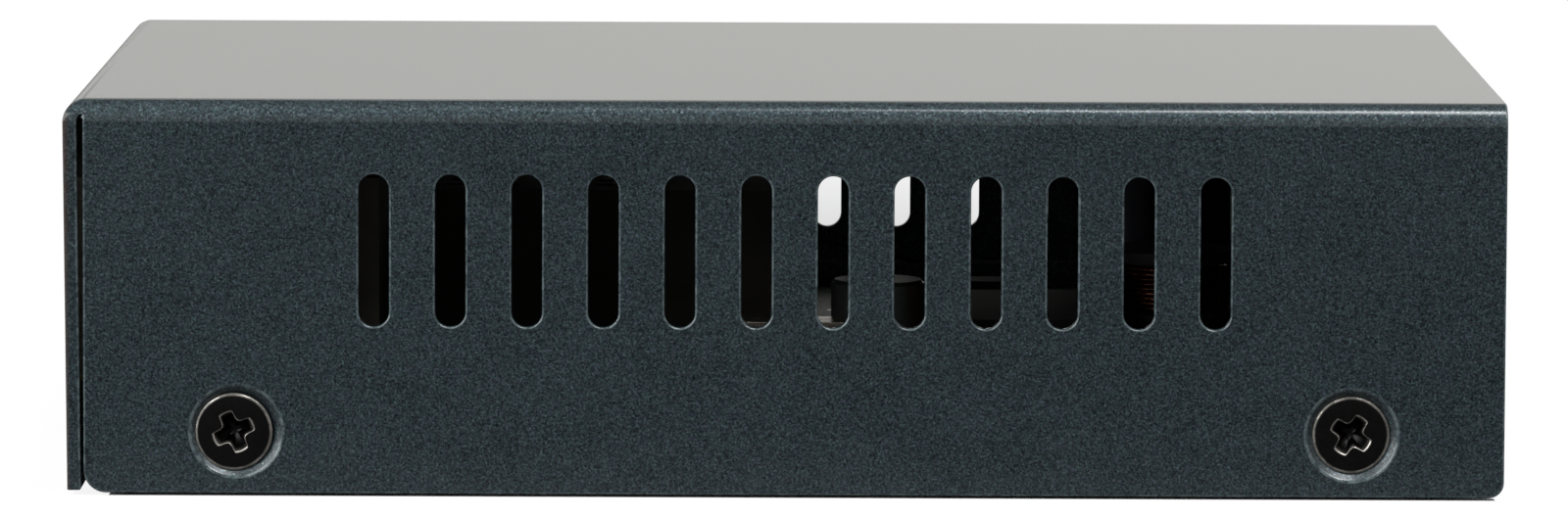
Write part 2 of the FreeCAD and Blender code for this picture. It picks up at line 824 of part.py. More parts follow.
def inlet_body():
    half = inlet_width / 2
    rear = inlet_front - inlet_depth
    z = inlet_height_z
    flange = block(inlet_front - inlet_flange, inlet_front, inlet_middle - half, inlet_middle + half,
                   board_top, board_top + inlet_height)
    barrel = half - sheet / 2
    shape = [(inlet_middle - barrel, board_top, 0), (inlet_middle + barrel, board_top, 0),
             (inlet_middle + barrel, z + barrel, barrel * 0.999), (inlet_middle - barrel, z + barrel, barrel * 0.999)]
    body = joined([flange, prism(shape, "yz", rear, inlet_front - inlet_flange / 2)])
    bore = rod(inlet_bore, V(inlet_front - inlet_bore_depth, inlet_middle, z), V(1, 0, 0),
               inlet_bore_depth + sheet)
    root = rod(inlet_root_radius + inlet_pin_gap, V(inlet_front - inlet_bore_depth - inlet_pin_root,
               inlet_middle, z), V(1, 0, 0), inlet_pin_root + sheet)
    groove = spring_width / 2 + spring_slot_gap
    slot = block(inlet_front - inlet_bore_depth, inlet_front - inlet_flange / 2, inlet_middle - groove,
                 inlet_middle + groove, z - inlet_bore - spring_slot_depth, z)
    return body.cut([bore, root, slot])


def inlet_pin():
    length = inlet_bore_depth + inlet_pin_root - inlet_pin_setback
    nose = inlet_pin_radius / 2
    profile = [(0, 0), (inlet_root_radius, 0), (inlet_root_radius, inlet_pin_root),
               (inlet_pin_radius, inlet_pin_root), (inlet_pin_radius, length - nose),
               (inlet_pin_radius - nose, length), (0, length)]
    return revolved(profile, V(inlet_front - inlet_bore_depth - inlet_pin_root, inlet_middle,
                               inlet_height_z), V(1, 0, 0))


def inlet_spring():
    """Sleeve contact: a bowed leaf lying in the groove below the bore."""
    t = spring_sheet
    low = inlet_height_z - inlet_bore - spring_slot_depth
    back = inlet_front - inlet_bore_depth + spring_slot_gap
    front = inlet_front - inlet_flange / 2 - spring_slot_gap
    crest = back + (front - back) * 0.65
    rise = spring_slot_depth + t
    shape = [(back, low, 0), (back + 2 * t, low, 0), (crest, low + rise - t, 0), (front, low, 0),
             (front, low + t, 0), (crest, low + rise, 0), (back + 2 * t, low + t, 0), (back, low + t, 0)]
    return prism(shape, "xz", inlet_middle - spring_width / 2, inlet_middle + spring_width / 2)


# ---- parts soldered on the board ----

def chip(place_xy, length, width, height):
    x, y = place_xy
    edge = height / 8
    level = board_top + edge
    body = prism(rectangle(x - length / 2, x + length / 2, y - width / 2, y + width / 2, edge), "xy",
                 level, board_top + height)
    foot = block(x - length / 2 - 2 * edge, x + length / 2 + 2 * edge, y - width / 2 + 3 * edge,
                 y + width / 2 - 3 * edge, board_top, level + edge)
    return joined([body, foot])


def can(radius, height, groove_level, base_point):
    """Drawn can with a rolled groove near its foot and a turned-over rim."""
    bead = capacitor_bead
    profile = [(0, 0), (radius, 0), (radius, groove_level - bead), (radius - bead, groove_level),
               (radius, groove_level + bead), (radius, height - bead), (radius - bead, height),
               (0, height)]
    return revolved(profile, base_point, V(0, 0, 1))


def low_capacitor():
    x, y = low_capacitor_place
    r = low_capacitor_radius
    body = can(r, low_capacitor_height, 3 * capacitor_bead, V(x, y, board_top + capacitor_foot))
    foot = prism([(x - r, y - r, 0), (x + r, y - r, r / 4), (x + r, y + r, r / 4), (x - r, y + r, 0)], "xy",
                 board_top, board_top + capacitor_foot)
    return joined([body, foot])


def tall_capacitor():
    x, y = tall_capacitor_place
    return can(tall_capacitor_radius, tall_capacitor_height, 6 * capacitor_bead, V(x, y, board_top))


def inductor_core():
    x, y = inductor_place
    f = inductor_flange
    h = inductor_height
    profile = [(0, 0), (inductor_radius, 0), (inductor_radius, f), (inductor_post, f),
               (inductor_post, h - f), (inductor_radius, h - f), (inductor_radius, h), (0, h)]
    return revolved(profile, V(x, y, board_top), V(0, 0, 1))


def inductor_winding():
    x, y = inductor_place
    level = board_top + inductor_flange + winding_gap
    tall = inductor_height - 2 * (inductor_flange + winding_gap)
    outer = Part.makeCylinder(inductor_radius - 3 * winding_gap, tall, V(x, y, level))
    return outer.cut(Part.makeCylinder(inductor_post + winding_gap / 2, tall, V(x, y, level)))


def crystal():
    x, y = crystal_place
    rim = crystal_rim
    half_l = crystal_length / 2
    half_w = crystal_width / 2
    foot = prism(rectangle(x - half_l, x + half_l, y - half_w, y + half_w, half_w * 0.999), "xy",
                 board_top, board_top + rim)
    lid = prism(rectangle(x - half_l + rim, x + half_l - rim, y - half_w + rim, y + half_w - rim,
                          (half_w - rim) * 0.999), "xy", board_top, board_top + crystal_height)
    return joined([foot, lid])


def small_parts():
    boxes = []
    rear_row = (board_rear - small_part_rear_row[0], small_part_rear_row[1])
    for first_x, y in small_part_rows + (rear_row,):
        for index in range(small_part_count):
            x = first_x + index * small_part_pitch
            boxes.append(block(x, x + small_part_width, y, y + small_part_length, board_top,
                               board_top + small_part_height))
    return Part.makeCompound(boxes)


def all_parts():
    parts = {"cover": cover(), "base": base(), "circuit_board": circuit_board()}
    for name in screw_spots:
        parts["cover_screw_" + name] = cover_screw(name)
    for name in board_screw_places:
        parts["standoff_" + name] = standoff(name)
        parts["board_screw_" + name] = board_screw(name)
    parts["jack_shield"] = jack_shield()
    parts["jack_insert"] = jack_insert()
    parts["jack_contacts"] = jack_contacts()
    parts["jack_light_left"] = jack_light(1)
    parts["jack_light_right"] = jack_light(-1)
    parts["fibre_cage"] = fibre_cage()
    parts["fibre_cage_springs"] = cage_springs()
    parts["fibre_host_connector"] = host_connector()
    parts["fibre_host_contacts"] = host_contacts()
    parts["light_holder"] = light_holder()
    for index, (y, z) in enumerate(light_spots()):
        parts["status_light_%d" % (index + 1)] = status_light(y, z)
    parts["switch_body"] = switch_body()
    for index, y in enumerate(lever_places()):
        parts["switch_lever_%d" % (index + 1)] = switch_lever(y)
    parts["power_inlet_body"] = inlet_body()
    parts["power_inlet_pin"] = inlet_pin()
    parts["power_inlet_spring"] = inlet_spring()
    parts["converter_chip"] = chip(main_chip_place, main_chip_length, main_chip_width, main_chip_height)
    parts["line_chip"] = chip(line_chip_place, line_chip_size, line_chip_size, line_chip_height)
    parts["power_chip"] = chip(power_chip_place, power_chip_length, power_chip_width, power_chip_height)
    parts["memory_chip"] = chip(memory_chip_place, memory_chip_length, memory_chip_width, memory_chip_height)
    parts["low_capacitor"] = low_capacitor()
    parts["tall_capacitor"] = tall_capacitor()
    parts["inductor_core"] = inductor_core()
    parts["inductor_winding"] = inductor_winding()
    parts["crystal"] = crystal()
    parts["small_board_parts"] = small_parts()
    return parts


for node, shape in all_parts().items():
    shape.exportStep("parts/" + node + ".step")
    print(node, len(shape.Solids), round(shape.Volume, 2), shape.isValid())
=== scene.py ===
import bmesh
import bpy
import math
from mathutils import Matrix, Vector


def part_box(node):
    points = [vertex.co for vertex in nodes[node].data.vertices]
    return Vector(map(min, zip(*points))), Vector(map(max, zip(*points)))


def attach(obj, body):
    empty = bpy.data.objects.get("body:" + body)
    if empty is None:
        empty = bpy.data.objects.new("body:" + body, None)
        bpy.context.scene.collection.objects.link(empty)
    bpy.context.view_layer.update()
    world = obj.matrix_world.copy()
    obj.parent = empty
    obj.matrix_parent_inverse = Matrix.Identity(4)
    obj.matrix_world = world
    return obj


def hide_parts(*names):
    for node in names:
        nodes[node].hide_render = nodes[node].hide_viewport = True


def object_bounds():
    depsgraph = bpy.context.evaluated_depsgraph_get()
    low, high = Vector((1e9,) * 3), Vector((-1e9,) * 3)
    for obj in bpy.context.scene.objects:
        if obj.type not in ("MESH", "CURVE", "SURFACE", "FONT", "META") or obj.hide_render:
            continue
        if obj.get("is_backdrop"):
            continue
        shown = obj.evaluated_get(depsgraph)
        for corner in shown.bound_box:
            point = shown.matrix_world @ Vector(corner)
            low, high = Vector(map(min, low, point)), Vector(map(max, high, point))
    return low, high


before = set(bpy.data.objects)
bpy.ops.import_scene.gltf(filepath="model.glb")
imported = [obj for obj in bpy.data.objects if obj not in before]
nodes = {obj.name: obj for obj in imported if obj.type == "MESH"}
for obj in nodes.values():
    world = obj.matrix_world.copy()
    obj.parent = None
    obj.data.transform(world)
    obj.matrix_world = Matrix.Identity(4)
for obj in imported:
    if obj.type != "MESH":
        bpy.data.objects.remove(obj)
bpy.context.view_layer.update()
mm = 0.001
white = (1, 1, 1, 1)
black = (0, 0, 0, 1)

print("frame loaded:", len(nodes), "nodes")


class Plug:  # one output of a node; arithmetic on it adds nodes
    def __init__(self, graph, socket):
        self.graph = graph
        self.socket = socket

    def out(self, name):  # another output of the same node
        return Plug(self.graph, self.socket.node.outputs[name])

    def __add__(self, other):
        return self.graph.combine("ADD", self, other)

    def __radd__(self, other):
        return self.graph.combine("ADD", other, self)

    def __sub__(self, other):
        return self.graph.combine("SUBTRACT", self, other)

    def __rsub__(self, other):
        return self.graph.combine("SUBTRACT", other, self)

    def __mul__(self, other):
        return self.graph.combine("MULTIPLY", self, other)

    def __rmul__(self, other):
        return self.graph.combine("MULTIPLY", other, self)

    def __truediv__(self, other):
        return self.graph.combine("DIVIDE", self, other)

    def __rtruediv__(self, other):
        return self.graph.combine("DIVIDE", other, self)

    def __pow__(self, other):
        return self.graph.combine("POWER", self, other)

    def __gt__(self, other):
        return self.graph.combine("GREATER_THAN", self, other)

    def __lt__(self, other):
        return self.graph.combine("LESS_THAN", self, other)

    def __abs__(self):
        return self.graph.math("ABSOLUTE", self)


class Graph:  # a node tree, written as expressions
    def __init__(self, tree):
        self.tree = tree

    def combine(self, operation, first, second):
        kinds = {x.socket.type for x in (first, second) if isinstance(x, Plug)}
        if "RGBA" in kinds:
            settings = {"data_type": "RGBA", "blend_type": operation}
            return self.add("ShaderNodeMix", settings, {0: 1.0, 6: first, 7: second}, 2)
        if "VECTOR" in kinds:
            first, second = [(x, x, x) if isinstance(x, (int, float)) else x for x in (first, second)]
            return self.add("ShaderNodeVectorMath", {"operation": operation}, {0: first, 1: second})
        return self.math(operation, first, second)

    def math(self, operation, *values):
        return self.add("ShaderNodeMath", {"operation": operation}, dict(enumerate(values)))

    def add(self, kind, settings=None, sockets=None, out=0):
        node = self.tree.nodes.new(kind)
        for name, value in (settings or {}).items():
            setattr(node, name, value)
        for key, value in (sockets or {}).items():
            if isinstance(value, Plug):
                self.tree.links.new(value.socket, node.inputs[key])
            else:
                node.inputs[key].default_value = value
        return Plug(self, node.outputs[out]) if len(node.outputs) else None

    def mix(self, share, first, second):  # colours
        return self.add("ShaderNodeMix", {"data_type": "RGBA"}, {0: share, 6: first, 7: second}, 2)

    def ease(self, value, low, high):  # 0 below low, 1 above high, smooth between
        return self.add("ShaderNodeMapRange", {"interpolation_type": "SMOOTHSTEP"},
                        {"Value": value, "From Min": low, "From Max": high})

    def spot(self):
        return self.add("ShaderNodeTexCoord", out="Object")

    def noise(self, spot, size, detail=2.0):  # size of the patches in metres
        return self.add("ShaderNodeTexNoise", {}, {"Vector": spot, "Scale": 1 / size, "Detail": detail})

    def cells(self, spot, size):  # one random colour for each grain
        return self.add("ShaderNodeTexVoronoi", {}, {"Vector": spot, "Scale": 1 / size}, "Color")

    def axes(self, vector):
        made = self.add("ShaderNodeSeparateXYZ", {}, {0: vector})
        return made, made.out("Y"), made.out("Z")

    def channels(self, colour):
        made = self.add("ShaderNodeSeparateColor", {}, {0: colour})
        return made, made.out("Green"), made.out("Blue")

    def bump(self, height, depth):
        return self.add("ShaderNodeBump", {}, {"Height": height, "Distance": depth})

    def point(self, x=0, y=0, z=0):
        return self.add("ShaderNodeCombineXYZ", {}, {0: x, 1: y, 2: z})

    def stored(self, name, kind="FLOAT"):  # an attribute of the points
        return self.add("GeometryNodeInputNamedAttribute", {"data_type": kind}, {"Name": name})

    def circle(self, sides, radius):
        return self.add("GeometryNodeCurvePrimitiveCircle", {}, {"Resolution": sides, "Radius": radius})

    def sweep(self, path, profile, caps=False):
        return self.add("GeometryNodeCurveToMesh", {},
                        {"Curve": path, "Profile Curve": profile, "Fill Caps": caps})

    def repeat(self, points, shape, **more):
        return self.add("GeometryNodeInstanceOnPoints", {}, {"Points": points, "Instance": shape, **more})


def shade(red, green, blue):  # a colour as it is seen on a screen, 0 to 255
    return tuple((value / 255) ** 2.2 for value in (red, green, blue)) + (1.0,)


def emptyGraph(owner):  # a material's own tree, or the world's
    owner.use_nodes = True
    owner.node_tree.nodes.clear()
    return Graph(owner.node_tree)


def finish(name, fixed, draw, *values):  # fixed: the same all over; draw: what changes over the surface
    material = bpy.data.materials.new(name)
    graph = emptyGraph(material)
    shader = graph.add("ShaderNodeBsdfPrincipled", {}, {**fixed, **draw(graph, *values)})
    graph.add("ShaderNodeOutputMaterial", {}, {"Surface": shader})
    return material


steelPaint = {
    "grain": 0.11 * mm,  # one coloured speck
    "flake": 0.17 * mm,
    "patch": 5.0 * mm,
    "teal": shade(46, 58, 58),
    "indigo": shade(46, 51, 58),
    "grainContrast": 0.8,
    "fineContrast": 0.8,
    "flakeContrast": 0.9,
    "patchContrast": 0.35,
    "texture": 0.004 * mm,
    "rough": 0.5,
    "spark": shade(168, 182, 186),
    "sparkShare": 0.12,
    "rub": 0.6 * mm,  # size of the spots along an edge where the wear and the painted highlight are strongest
    # rolled edges: a lighter colour, partly worn paint and partly a painted highlight on the rims
    "rolledEdgeWearAndSheen": shade(94, 104, 106),
    "cutEdge": shade(66, 54, 49),
    "cutUpTo": (-46.5 * mm, -46.2 * mm),  # cut edges in front of this, rolled ones behind
    "wallEnd": (-46.95 * mm, -46.6 * mm),  # thin paint where the side walls end
    "wallFace": (34.85 * mm, 34.95 * mm),
    "wallEndShare": 0.45,
}
clearCoat = {"Coat Weight": 1.0, "Coat Roughness": 0.165, "Coat IOR": 1.4, "Specular IOR Level": 0.0,
             "Specular Tint": (0.4, 0.4, 0.4, 1.0)}


def drawPaint(graph, worn):
    spot = graph.spot()
    first, second, third = graph.channels(graph.cells(spot, steelPaint["grain"]))
    fine = graph.noise(spot, steelPaint["grain"] * 1.6, 1.0) - 0.5
    flakes = graph.ease(graph.noise(spot, steelPaint["flake"], 1.0), 0.5, 0.72) - 0.25
    patches = graph.noise(spot, steelPaint["patch"], 3.0) - 0.5
    level = 1.0 + ((first - 0.5) * steelPaint["grainContrast"] + fine * steelPaint["fineContrast"]
                   + flakes * steelPaint["flakeContrast"] + patches * steelPaint["patchContrast"])
    grey = graph.add("ShaderNodeCombineColor", {}, {0: level, 1: level, 2: level})
    colour = graph.mix(second, steelPaint["teal"], steelPaint["indigo"]) * grey
    sparks = graph.ease(third, 0.9, 0.98) * steelPaint["sparkShare"]
    colour = graph.mix(sparks, colour, steelPaint["spark"])
    x, y, z = graph.axes(spot)
    wallEnd = (1 - graph.ease(x, *steelPaint["wallEnd"])) * graph.ease(abs(y), *steelPaint["wallFace"])
    colour = graph.mix(wallEnd * steelPaint["wallEndShare"], colour, steelPaint["cutEdge"])
    # edge finish: rolled edges get a lighter colour that is partly worn paint and partly a painted highlight;
    # cut edges in front get the cut colour
    if worn:
        rub = graph.ease(graph.noise(spot, steelPaint["rub"], 3.0), 0.4, 0.65)
        behind = graph.ease(x, *steelPaint["cutUpTo"])
        edge = graph.mix(behind, steelPaint["cutEdge"], steelPaint["rolledEdgeWearAndSheen"])
        colour = graph.mix(rub * 0.4 + 0.1, colour, edge)
    return {
        "Base Color": colour,
        "Metallic": graph.ease(third, 0.1, 0.9) * (0.2 if worn else 0.6) + (0.0 if worn else 0.2),
        "Roughness": steelPaint["rough"] - sparks + patches * 0.1,
        "Normal": graph.bump(first * 0.5 + fine, steelPaint["texture"]),
    }


paintedSteel = finish("paintedSteel", clearCoat, drawPaint, False)
# the rim finish, whose lighter colour is partly wear and partly a painted highlight
rolledPaint = finish("rolledPaint", clearCoat, drawPaint, True)
mouthPaint = finish("mouthPaint", {**clearCoat, "Coat Roughness": 0.42}, drawPaint, False)

oxide = {"base": shade(7, 7, 7), "worn": shade(170, 166, 160), "scratch": 0.25 * mm}


def drawOxide(graph):
    spot = graph.spot()
    wear = graph.add("ShaderNodeAttribute", {"attribute_name": "wear"}, out="Fac")
    patchy = graph.ease(graph.noise(spot, 0.7 * mm, 4.0), 0.38, 0.66)
    rub = wear * (patchy * 0.65 + 0.35)
    scratches = graph.noise(spot * (1.0, 6.0, 1.0), oxide["scratch"], 3.0)
    return {
        "Base Color": graph.mix(rub, oxide["base"], oxide["worn"]),
        "Metallic": 0.15 + rub * 0.8,
        "Roughness": 0.32 + (scratches - 0.5) * 0.2,
        "Normal": graph.bump(scratches, 0.004 * mm),
    }


blackOxide = finish("blackOxide", {"IOR": 1.3}, drawOxide)

# a darker colour painted on metal inside the case, in place of the shade that falls there
metalDetail = {"stain": 4.0 * mm, "depth": 0.003 * mm, "paintedShade": shade(34, 30, 26),
               "paintedShadeFrom": (-45.5 * mm, -43.5 * mm)}


def drawMetal(graph, colour, dark, rough, streak, size, paintedShade=0.0):
    spot = graph.spot()
    brushed = graph.noise(spot * streak, size, 4.0)
    stain = graph.noise(spot, metalDetail["stain"], 3.0)
    base = graph.mix(graph.ease(stain, 0.35, 0.75) * 0.6 + brushed * 0.2, colour, dark)
    metal = 1.0 - graph.ease(stain, 0.6, 0.9) * 0.15
    grain = rough + (brushed - 0.5) * 0.25
    if paintedShade:  # painted shade: dark and matt behind the front wall, standing in for the shade inside the case
        x, y, z = graph.axes(spot)
        inside = graph.ease(x, *metalDetail["paintedShadeFrom"]) * paintedShade
        base = graph.mix(inside, base, metalDetail["paintedShade"])
        metal = metal * (1 - inside)
        grain = grain + inside * 0.45
    return {
        "Base Color": base,
        "Metallic": metal,
        "Roughness": grain,
        "Normal": graph.bump(brushed, metalDetail["depth"]),
    }


def drawEnamel(graph, *values):  # clear varnish over the wire, thin in places
    return {**drawMetal(graph, *values),
            "Coat Weight": graph.ease(graph.noise(graph.spot(), 1.0 * mm), 0.2, 0.6)}


nickelSheet = finish(
    "nickelSheet", {}, drawMetal, shade(205, 200, 190), shade(160, 152, 140), 0.28, (1.0, 9.0, 9.0), 1.2 * mm)
# nickel with painted shade: darker and matt inside the case
paintedShadeNickel = finish("paintedShadeNickel", {"Specular IOR Level": 0.1}, drawMetal,
                      shade(205, 200, 190), shade(160, 152, 140), 0.3, (1.0, 9.0, 9.0), 1.2 * mm, 0.85)
zincPlate = finish(
    "zincPlate", {}, drawMetal, shade(190, 192, 192), shade(150, 150, 142), 0.36, (1.0, 1.0, 4.0), 0.8 * mm)
goldContact = finish(
    "goldContact", {}, drawMetal, shade(226, 186, 96), shade(190, 146, 66), 0.22, (6.0, 1.0, 6.0), 0.6 * mm)
springBronze = finish(
    "springBronze", {}, drawMetal, shade(200, 164, 116), shade(160, 124, 84), 0.26, (1.0, 6.0, 6.0), 0.8 * mm)
copperWire = finish("copperWire", {"Coat Roughness": 0.1}, drawEnamel,
                    shade(118, 66, 42), shade(84, 46, 30), 0.3, (1.0, 1.0, 1.0), 0.5 * mm)
solderTin = finish(
    "solderTin", {}, drawMetal, shade(200, 200, 198), shade(150, 150, 150), 0.3, (1.0, 1.0, 1.0), 0.3 * mm)


def drawPlastic(graph, colour, second, grain, rough, depth):
    spot = graph.spot()
    sanded = graph.noise(spot, grain, 3.0)
    cloud = graph.noise(spot, 6.0 * mm, 2.0)
    return {
        "Base Color": graph.mix(cloud * 0.7 + sanded * 0.3, colour, second),
        "Roughness": rough + (sanded - 0.5) * 0.2,
        "Normal": graph.bump(sanded, depth),
    }


blackPlastic = finish("blackPlastic", {"IOR": 1.5}, drawPlastic,
                      shade(24, 24, 25), shade(36, 36, 38), 0.12 * mm, 0.45, 0.008 * mm)
switchRed = finish("switchRed", {"IOR": 1.5}, drawPlastic,
                   shade(176, 30, 26), shade(150, 22, 20), 0.15 * mm, 0.4, 0.006 * mm)
leverWhite = finish("leverWhite", {"IOR": 1.5, "Subsurface Weight": 0.1, "Subsurface Scale": 0.0005},
                    drawPlastic, shade(232, 230, 222), shade(214, 210, 198), 0.1 * mm, 0.38, 0.004 * mm)
ferriteGrey = finish("ferriteGrey", {"IOR": 1.6}, drawPlastic,
                     shade(58, 58, 58), shade(42, 42, 43), 0.08 * mm, 0.6, 0.012 * mm)
ceramicTan = finish("ceramicTan", {"IOR": 1.6}, drawPlastic,
                    shade(164, 138, 104), shade(140, 116, 86), 0.1 * mm, 0.35, 0.004 * mm)
packageBlack = finish("packageBlack", {"IOR": 1.45, "Specular IOR Level": 0.2}, drawPlastic,
                      shade(42, 42, 43), shade(32, 32, 33), 0.06 * mm, 0.7, 0.006 * mm)


def drawLens(graph, colour, deep):
    spot = graph.spot()
    haze = graph.noise(spot, 0.8 * mm, 2.0)
    return {"Base Color": graph.mix(haze, colour, deep),
            "Roughness": 0.18 + haze * 0.2,
            "Normal": graph.bump(haze, 0.01 * mm)}


lensFixed = {"IOR": 1.49, "Transmission Weight": 0.35}
greenLens = finish("greenLens", lensFixed, drawLens, shade(140, 190, 130), shade(96, 158, 96))
amberLens = finish("amberLens", lensFixed, drawLens, shade(226, 178, 92), shade(200, 140, 60))

board = {"top": 7.1 * mm, "middle": 6.3 * mm, "faces": (0.72 * mm, 0.78 * mm), "cell": 6.0 * mm,
         "pitch": 0.9 * mm, "track": 0.3, "mask": shade(16, 74, 44), "trace": shade(34, 104, 62),
         "sawnEdge": shade(176, 160, 96)}


def drawLaminate(graph):
    spot = graph.spot()
    x, y, z = graph.axes(spot)
    block = graph.add("ShaderNodeVectorMath", {"operation": "FLOOR"}, {0: spot * (1 / board["cell"])})
    pick = graph.add("ShaderNodeTexWhiteNoise", {"noise_dimensions": "2D"}, {"Vector": block})
    across = graph.math("FRACT", x / board["pitch"]) < board["track"]
    along = graph.math("FRACT", y / board["pitch"]) < board["track"]
    turned = pick > 0.5
    tracks = across * turned + along * (1 - turned)
    weave = graph.noise(spot * (1.0, 1.0, 0.2), 0.4 * mm, 2.0)
    level = tracks * (pick.out("Value") > 0.2)
    colour = graph.mix(level, board["mask"], board["trace"])
    colour = graph.mix(graph.ease(abs(z - board["middle"]), *board["faces"]), board["sawnEdge"], colour)
    return {"Base Color": colour,
            "Roughness": 0.3 + weave * 0.25,
            "Normal": graph.bump(level * 0.6 + weave * 0.4, 0.02 * mm)}


boardLaminate = finish("boardLaminate", {"IOR": 1.5}, drawLaminate)


can = {
    "bare": (shade(166, 168, 170), shade(128, 130, 133)),
    "lid": -0.12 * mm,
    "foot": -4.45 * mm,
    "footBlack": shade(26, 25, 25),
    "mark": shade(24, 24, 26),  # the half moon that shows the minus side
    "markFrom": 0.9 * mm,
    "markRadius": 2.75 * mm,
    "sleeve": shade(30, 34, 58),
    "sleeveRim": 3.1 * mm,
    "stripe": shade(170, 174, 182),
    "stripeAt": 0.6,  # radians
    "stripeHalf": 0.32,
}


def drawCan(graph, box, sleeved):  # measured from the middle of the can's top
    low, high = box
    middle = (low + high) / 2
    spot = graph.spot()
    x, y, z = graph.axes(graph.add("ShaderNodeMapping", {"vector_type": "POINT"},
                                   {"Vector": spot, "Location": (-middle.x, -middle.y, -high.z)}))
    radius = (x * x + y * y) ** 0.5
    drawn = graph.noise(spot * (1.0, 1.0, 12.0), 0.8 * mm, 3.0)
    bare = graph.mix(drawn, *can["bare"])
    lid = z > can["lid"]
    if sleeved:
        stripe = abs(graph.math("ARCTAN2", y, x) - can["stripeAt"]) < can["stripeHalf"]
        metal = lid * (radius < can["sleeveRim"])
        colour = graph.mix(metal, graph.mix(stripe, can["sleeve"], can["stripe"]), bare)
    else:
        mark = lid * (x > can["markFrom"]) * (radius < can["markRadius"])
        foot = z < can["foot"]
        metal = (1 - mark) * (1 - foot)
        colour = graph.mix(mark, graph.mix(foot, bare, can["footBlack"]), can["mark"])
    return {"Base Color": colour,
            "Metallic": metal * 0.95,
            "Roughness": 0.24 + drawn * 0.15 + lid * 0.1,
            "Normal": graph.bump(drawn, 0.002 * mm)}


canAluminium = finish("canAluminium", {}, drawCan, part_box("low_capacitor"), False)
sleevedCan = finish("sleevedCan", {}, drawCan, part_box("tall_capacitor"), True)

print("finishes made:", len(bpy.data.materials))


def newObject(name, data):
    made = bpy.data.objects.new(name, data)
    bpy.context.scene.collection.objects.link(made)
    return made


def smoothFaces(mesh, sharp=None):  # edges over the sharp angle stay crisp
    for face in mesh.polygons:
        face.use_smooth = True
    if sharp:
        mesh.set_sharp_from_angle(angle=math.radians(sharp))


def meshFrom(shape, name):
    mesh = bpy.data.meshes.new(name)
    shape.to_mesh(mesh)
    shape.free()
    return mesh


def mergedCopy(node, name):  # a frame shape with its triangles joined into whole faces
    shape = bmesh.new()
    shape.from_mesh(nodes[node].data)
    bmesh.ops.remove_doubles(shape, verts=shape.verts, dist=0.001 * mm)
    bmesh.ops.dissolve_limit(shape, angle_limit=math.radians(0.6), verts=shape.verts, edges=shape.edges)
    mesh = meshFrom(shape, name)
    for spare in [a.name for a in mesh.attributes if a.name in ("custom_normal", "sharp_face", "sharp_edge")]:
        mesh.attributes.remove(mesh.attributes[spare])
    return mesh


def seat(piece, body, slot, *replaced):  # parents a finished piece to its body and hides the frame parts it replaces
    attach(piece, body)
    if replaced:
        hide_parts(*replaced)
    return piece


corners = ("front_near", "rear_near", "front_far", "rear_far")
coverDetail = {"seamBehind": -44.5 * mm, "seamAbove": 24.2 * mm, "seamDeep": 0.4 * mm, "seamStep": 0.17 * mm,
               "mouth": 3.1 * mm, "mouthDeep": 0.9 * mm, "mouthSlope": (0.5, 0.9)}


def tidyCover(mesh):  # fewer, longer edges above the seams, and matt screw mouths
    shape = bmesh.new()
    shape.from_mesh(mesh)
    wall = max(vertex.co.y for vertex in shape.verts)
    seam = [vertex for vertex in shape.verts if vertex.co.x < coverDetail["seamBehind"]
            and vertex.co.z > coverDetail["seamAbove"] and abs(vertex.co.y) > wall - coverDetail["seamDeep"]]
    bmesh.ops.remove_doubles(shape, verts=seam, dist=coverDetail["seamStep"])
    middles = []
    for corner in corners:
        low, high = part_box("cover_screw_" + corner)
        middles.append((low + high) / 2)
    flattest, steepest = coverDetail["mouthSlope"]
    for face in shape.faces:
        centre = face.calc_center_median()
        reach = min(math.hypot(centre.x - middle.x, centre.z - middle.z) for middle in middles)
        outer = abs(centre.y) > wall - coverDetail["mouthDeep"]
        if outer and reach < coverDetail["mouth"] and flattest < abs(face.normal.y) < steepest:
            face.material_index = 2
    shape.to_mesh(mesh)
    shape.free()


def softened(node, name, material, slot, body="case", edge=0.0, steps=2, edgeMaterial=None, sharp=32):
    mesh = mergedCopy(node, name)
    mesh.materials.append(material)
    if edgeMaterial:
        mesh.materials.append(edgeMaterial)
    if node == "cover":
        mesh.materials.append(mouthPaint)
        tidyCover(mesh)
    smoothFaces(mesh, sharp)
    piece = newObject(name, mesh)
    if edge:
        bevel = piece.modifiers.new("softEdge", "BEVEL")
        bevel.width = edge
        bevel.segments = steps
        bevel.limit_method = "ANGLE"
        bevel.angle_limit = math.radians(sharp)
        bevel.miter_outer = "MITER_ARC"
        if edgeMaterial:
            bevel.material = 1
            bevel.use_clamp_overlap = False
    evened = piece.modifiers.new("evenNormals", "WEIGHTED_NORMAL")
    evened.keep_sharp = not edge
    evened.weight = 100
    return seat(piece, body, slot, node)


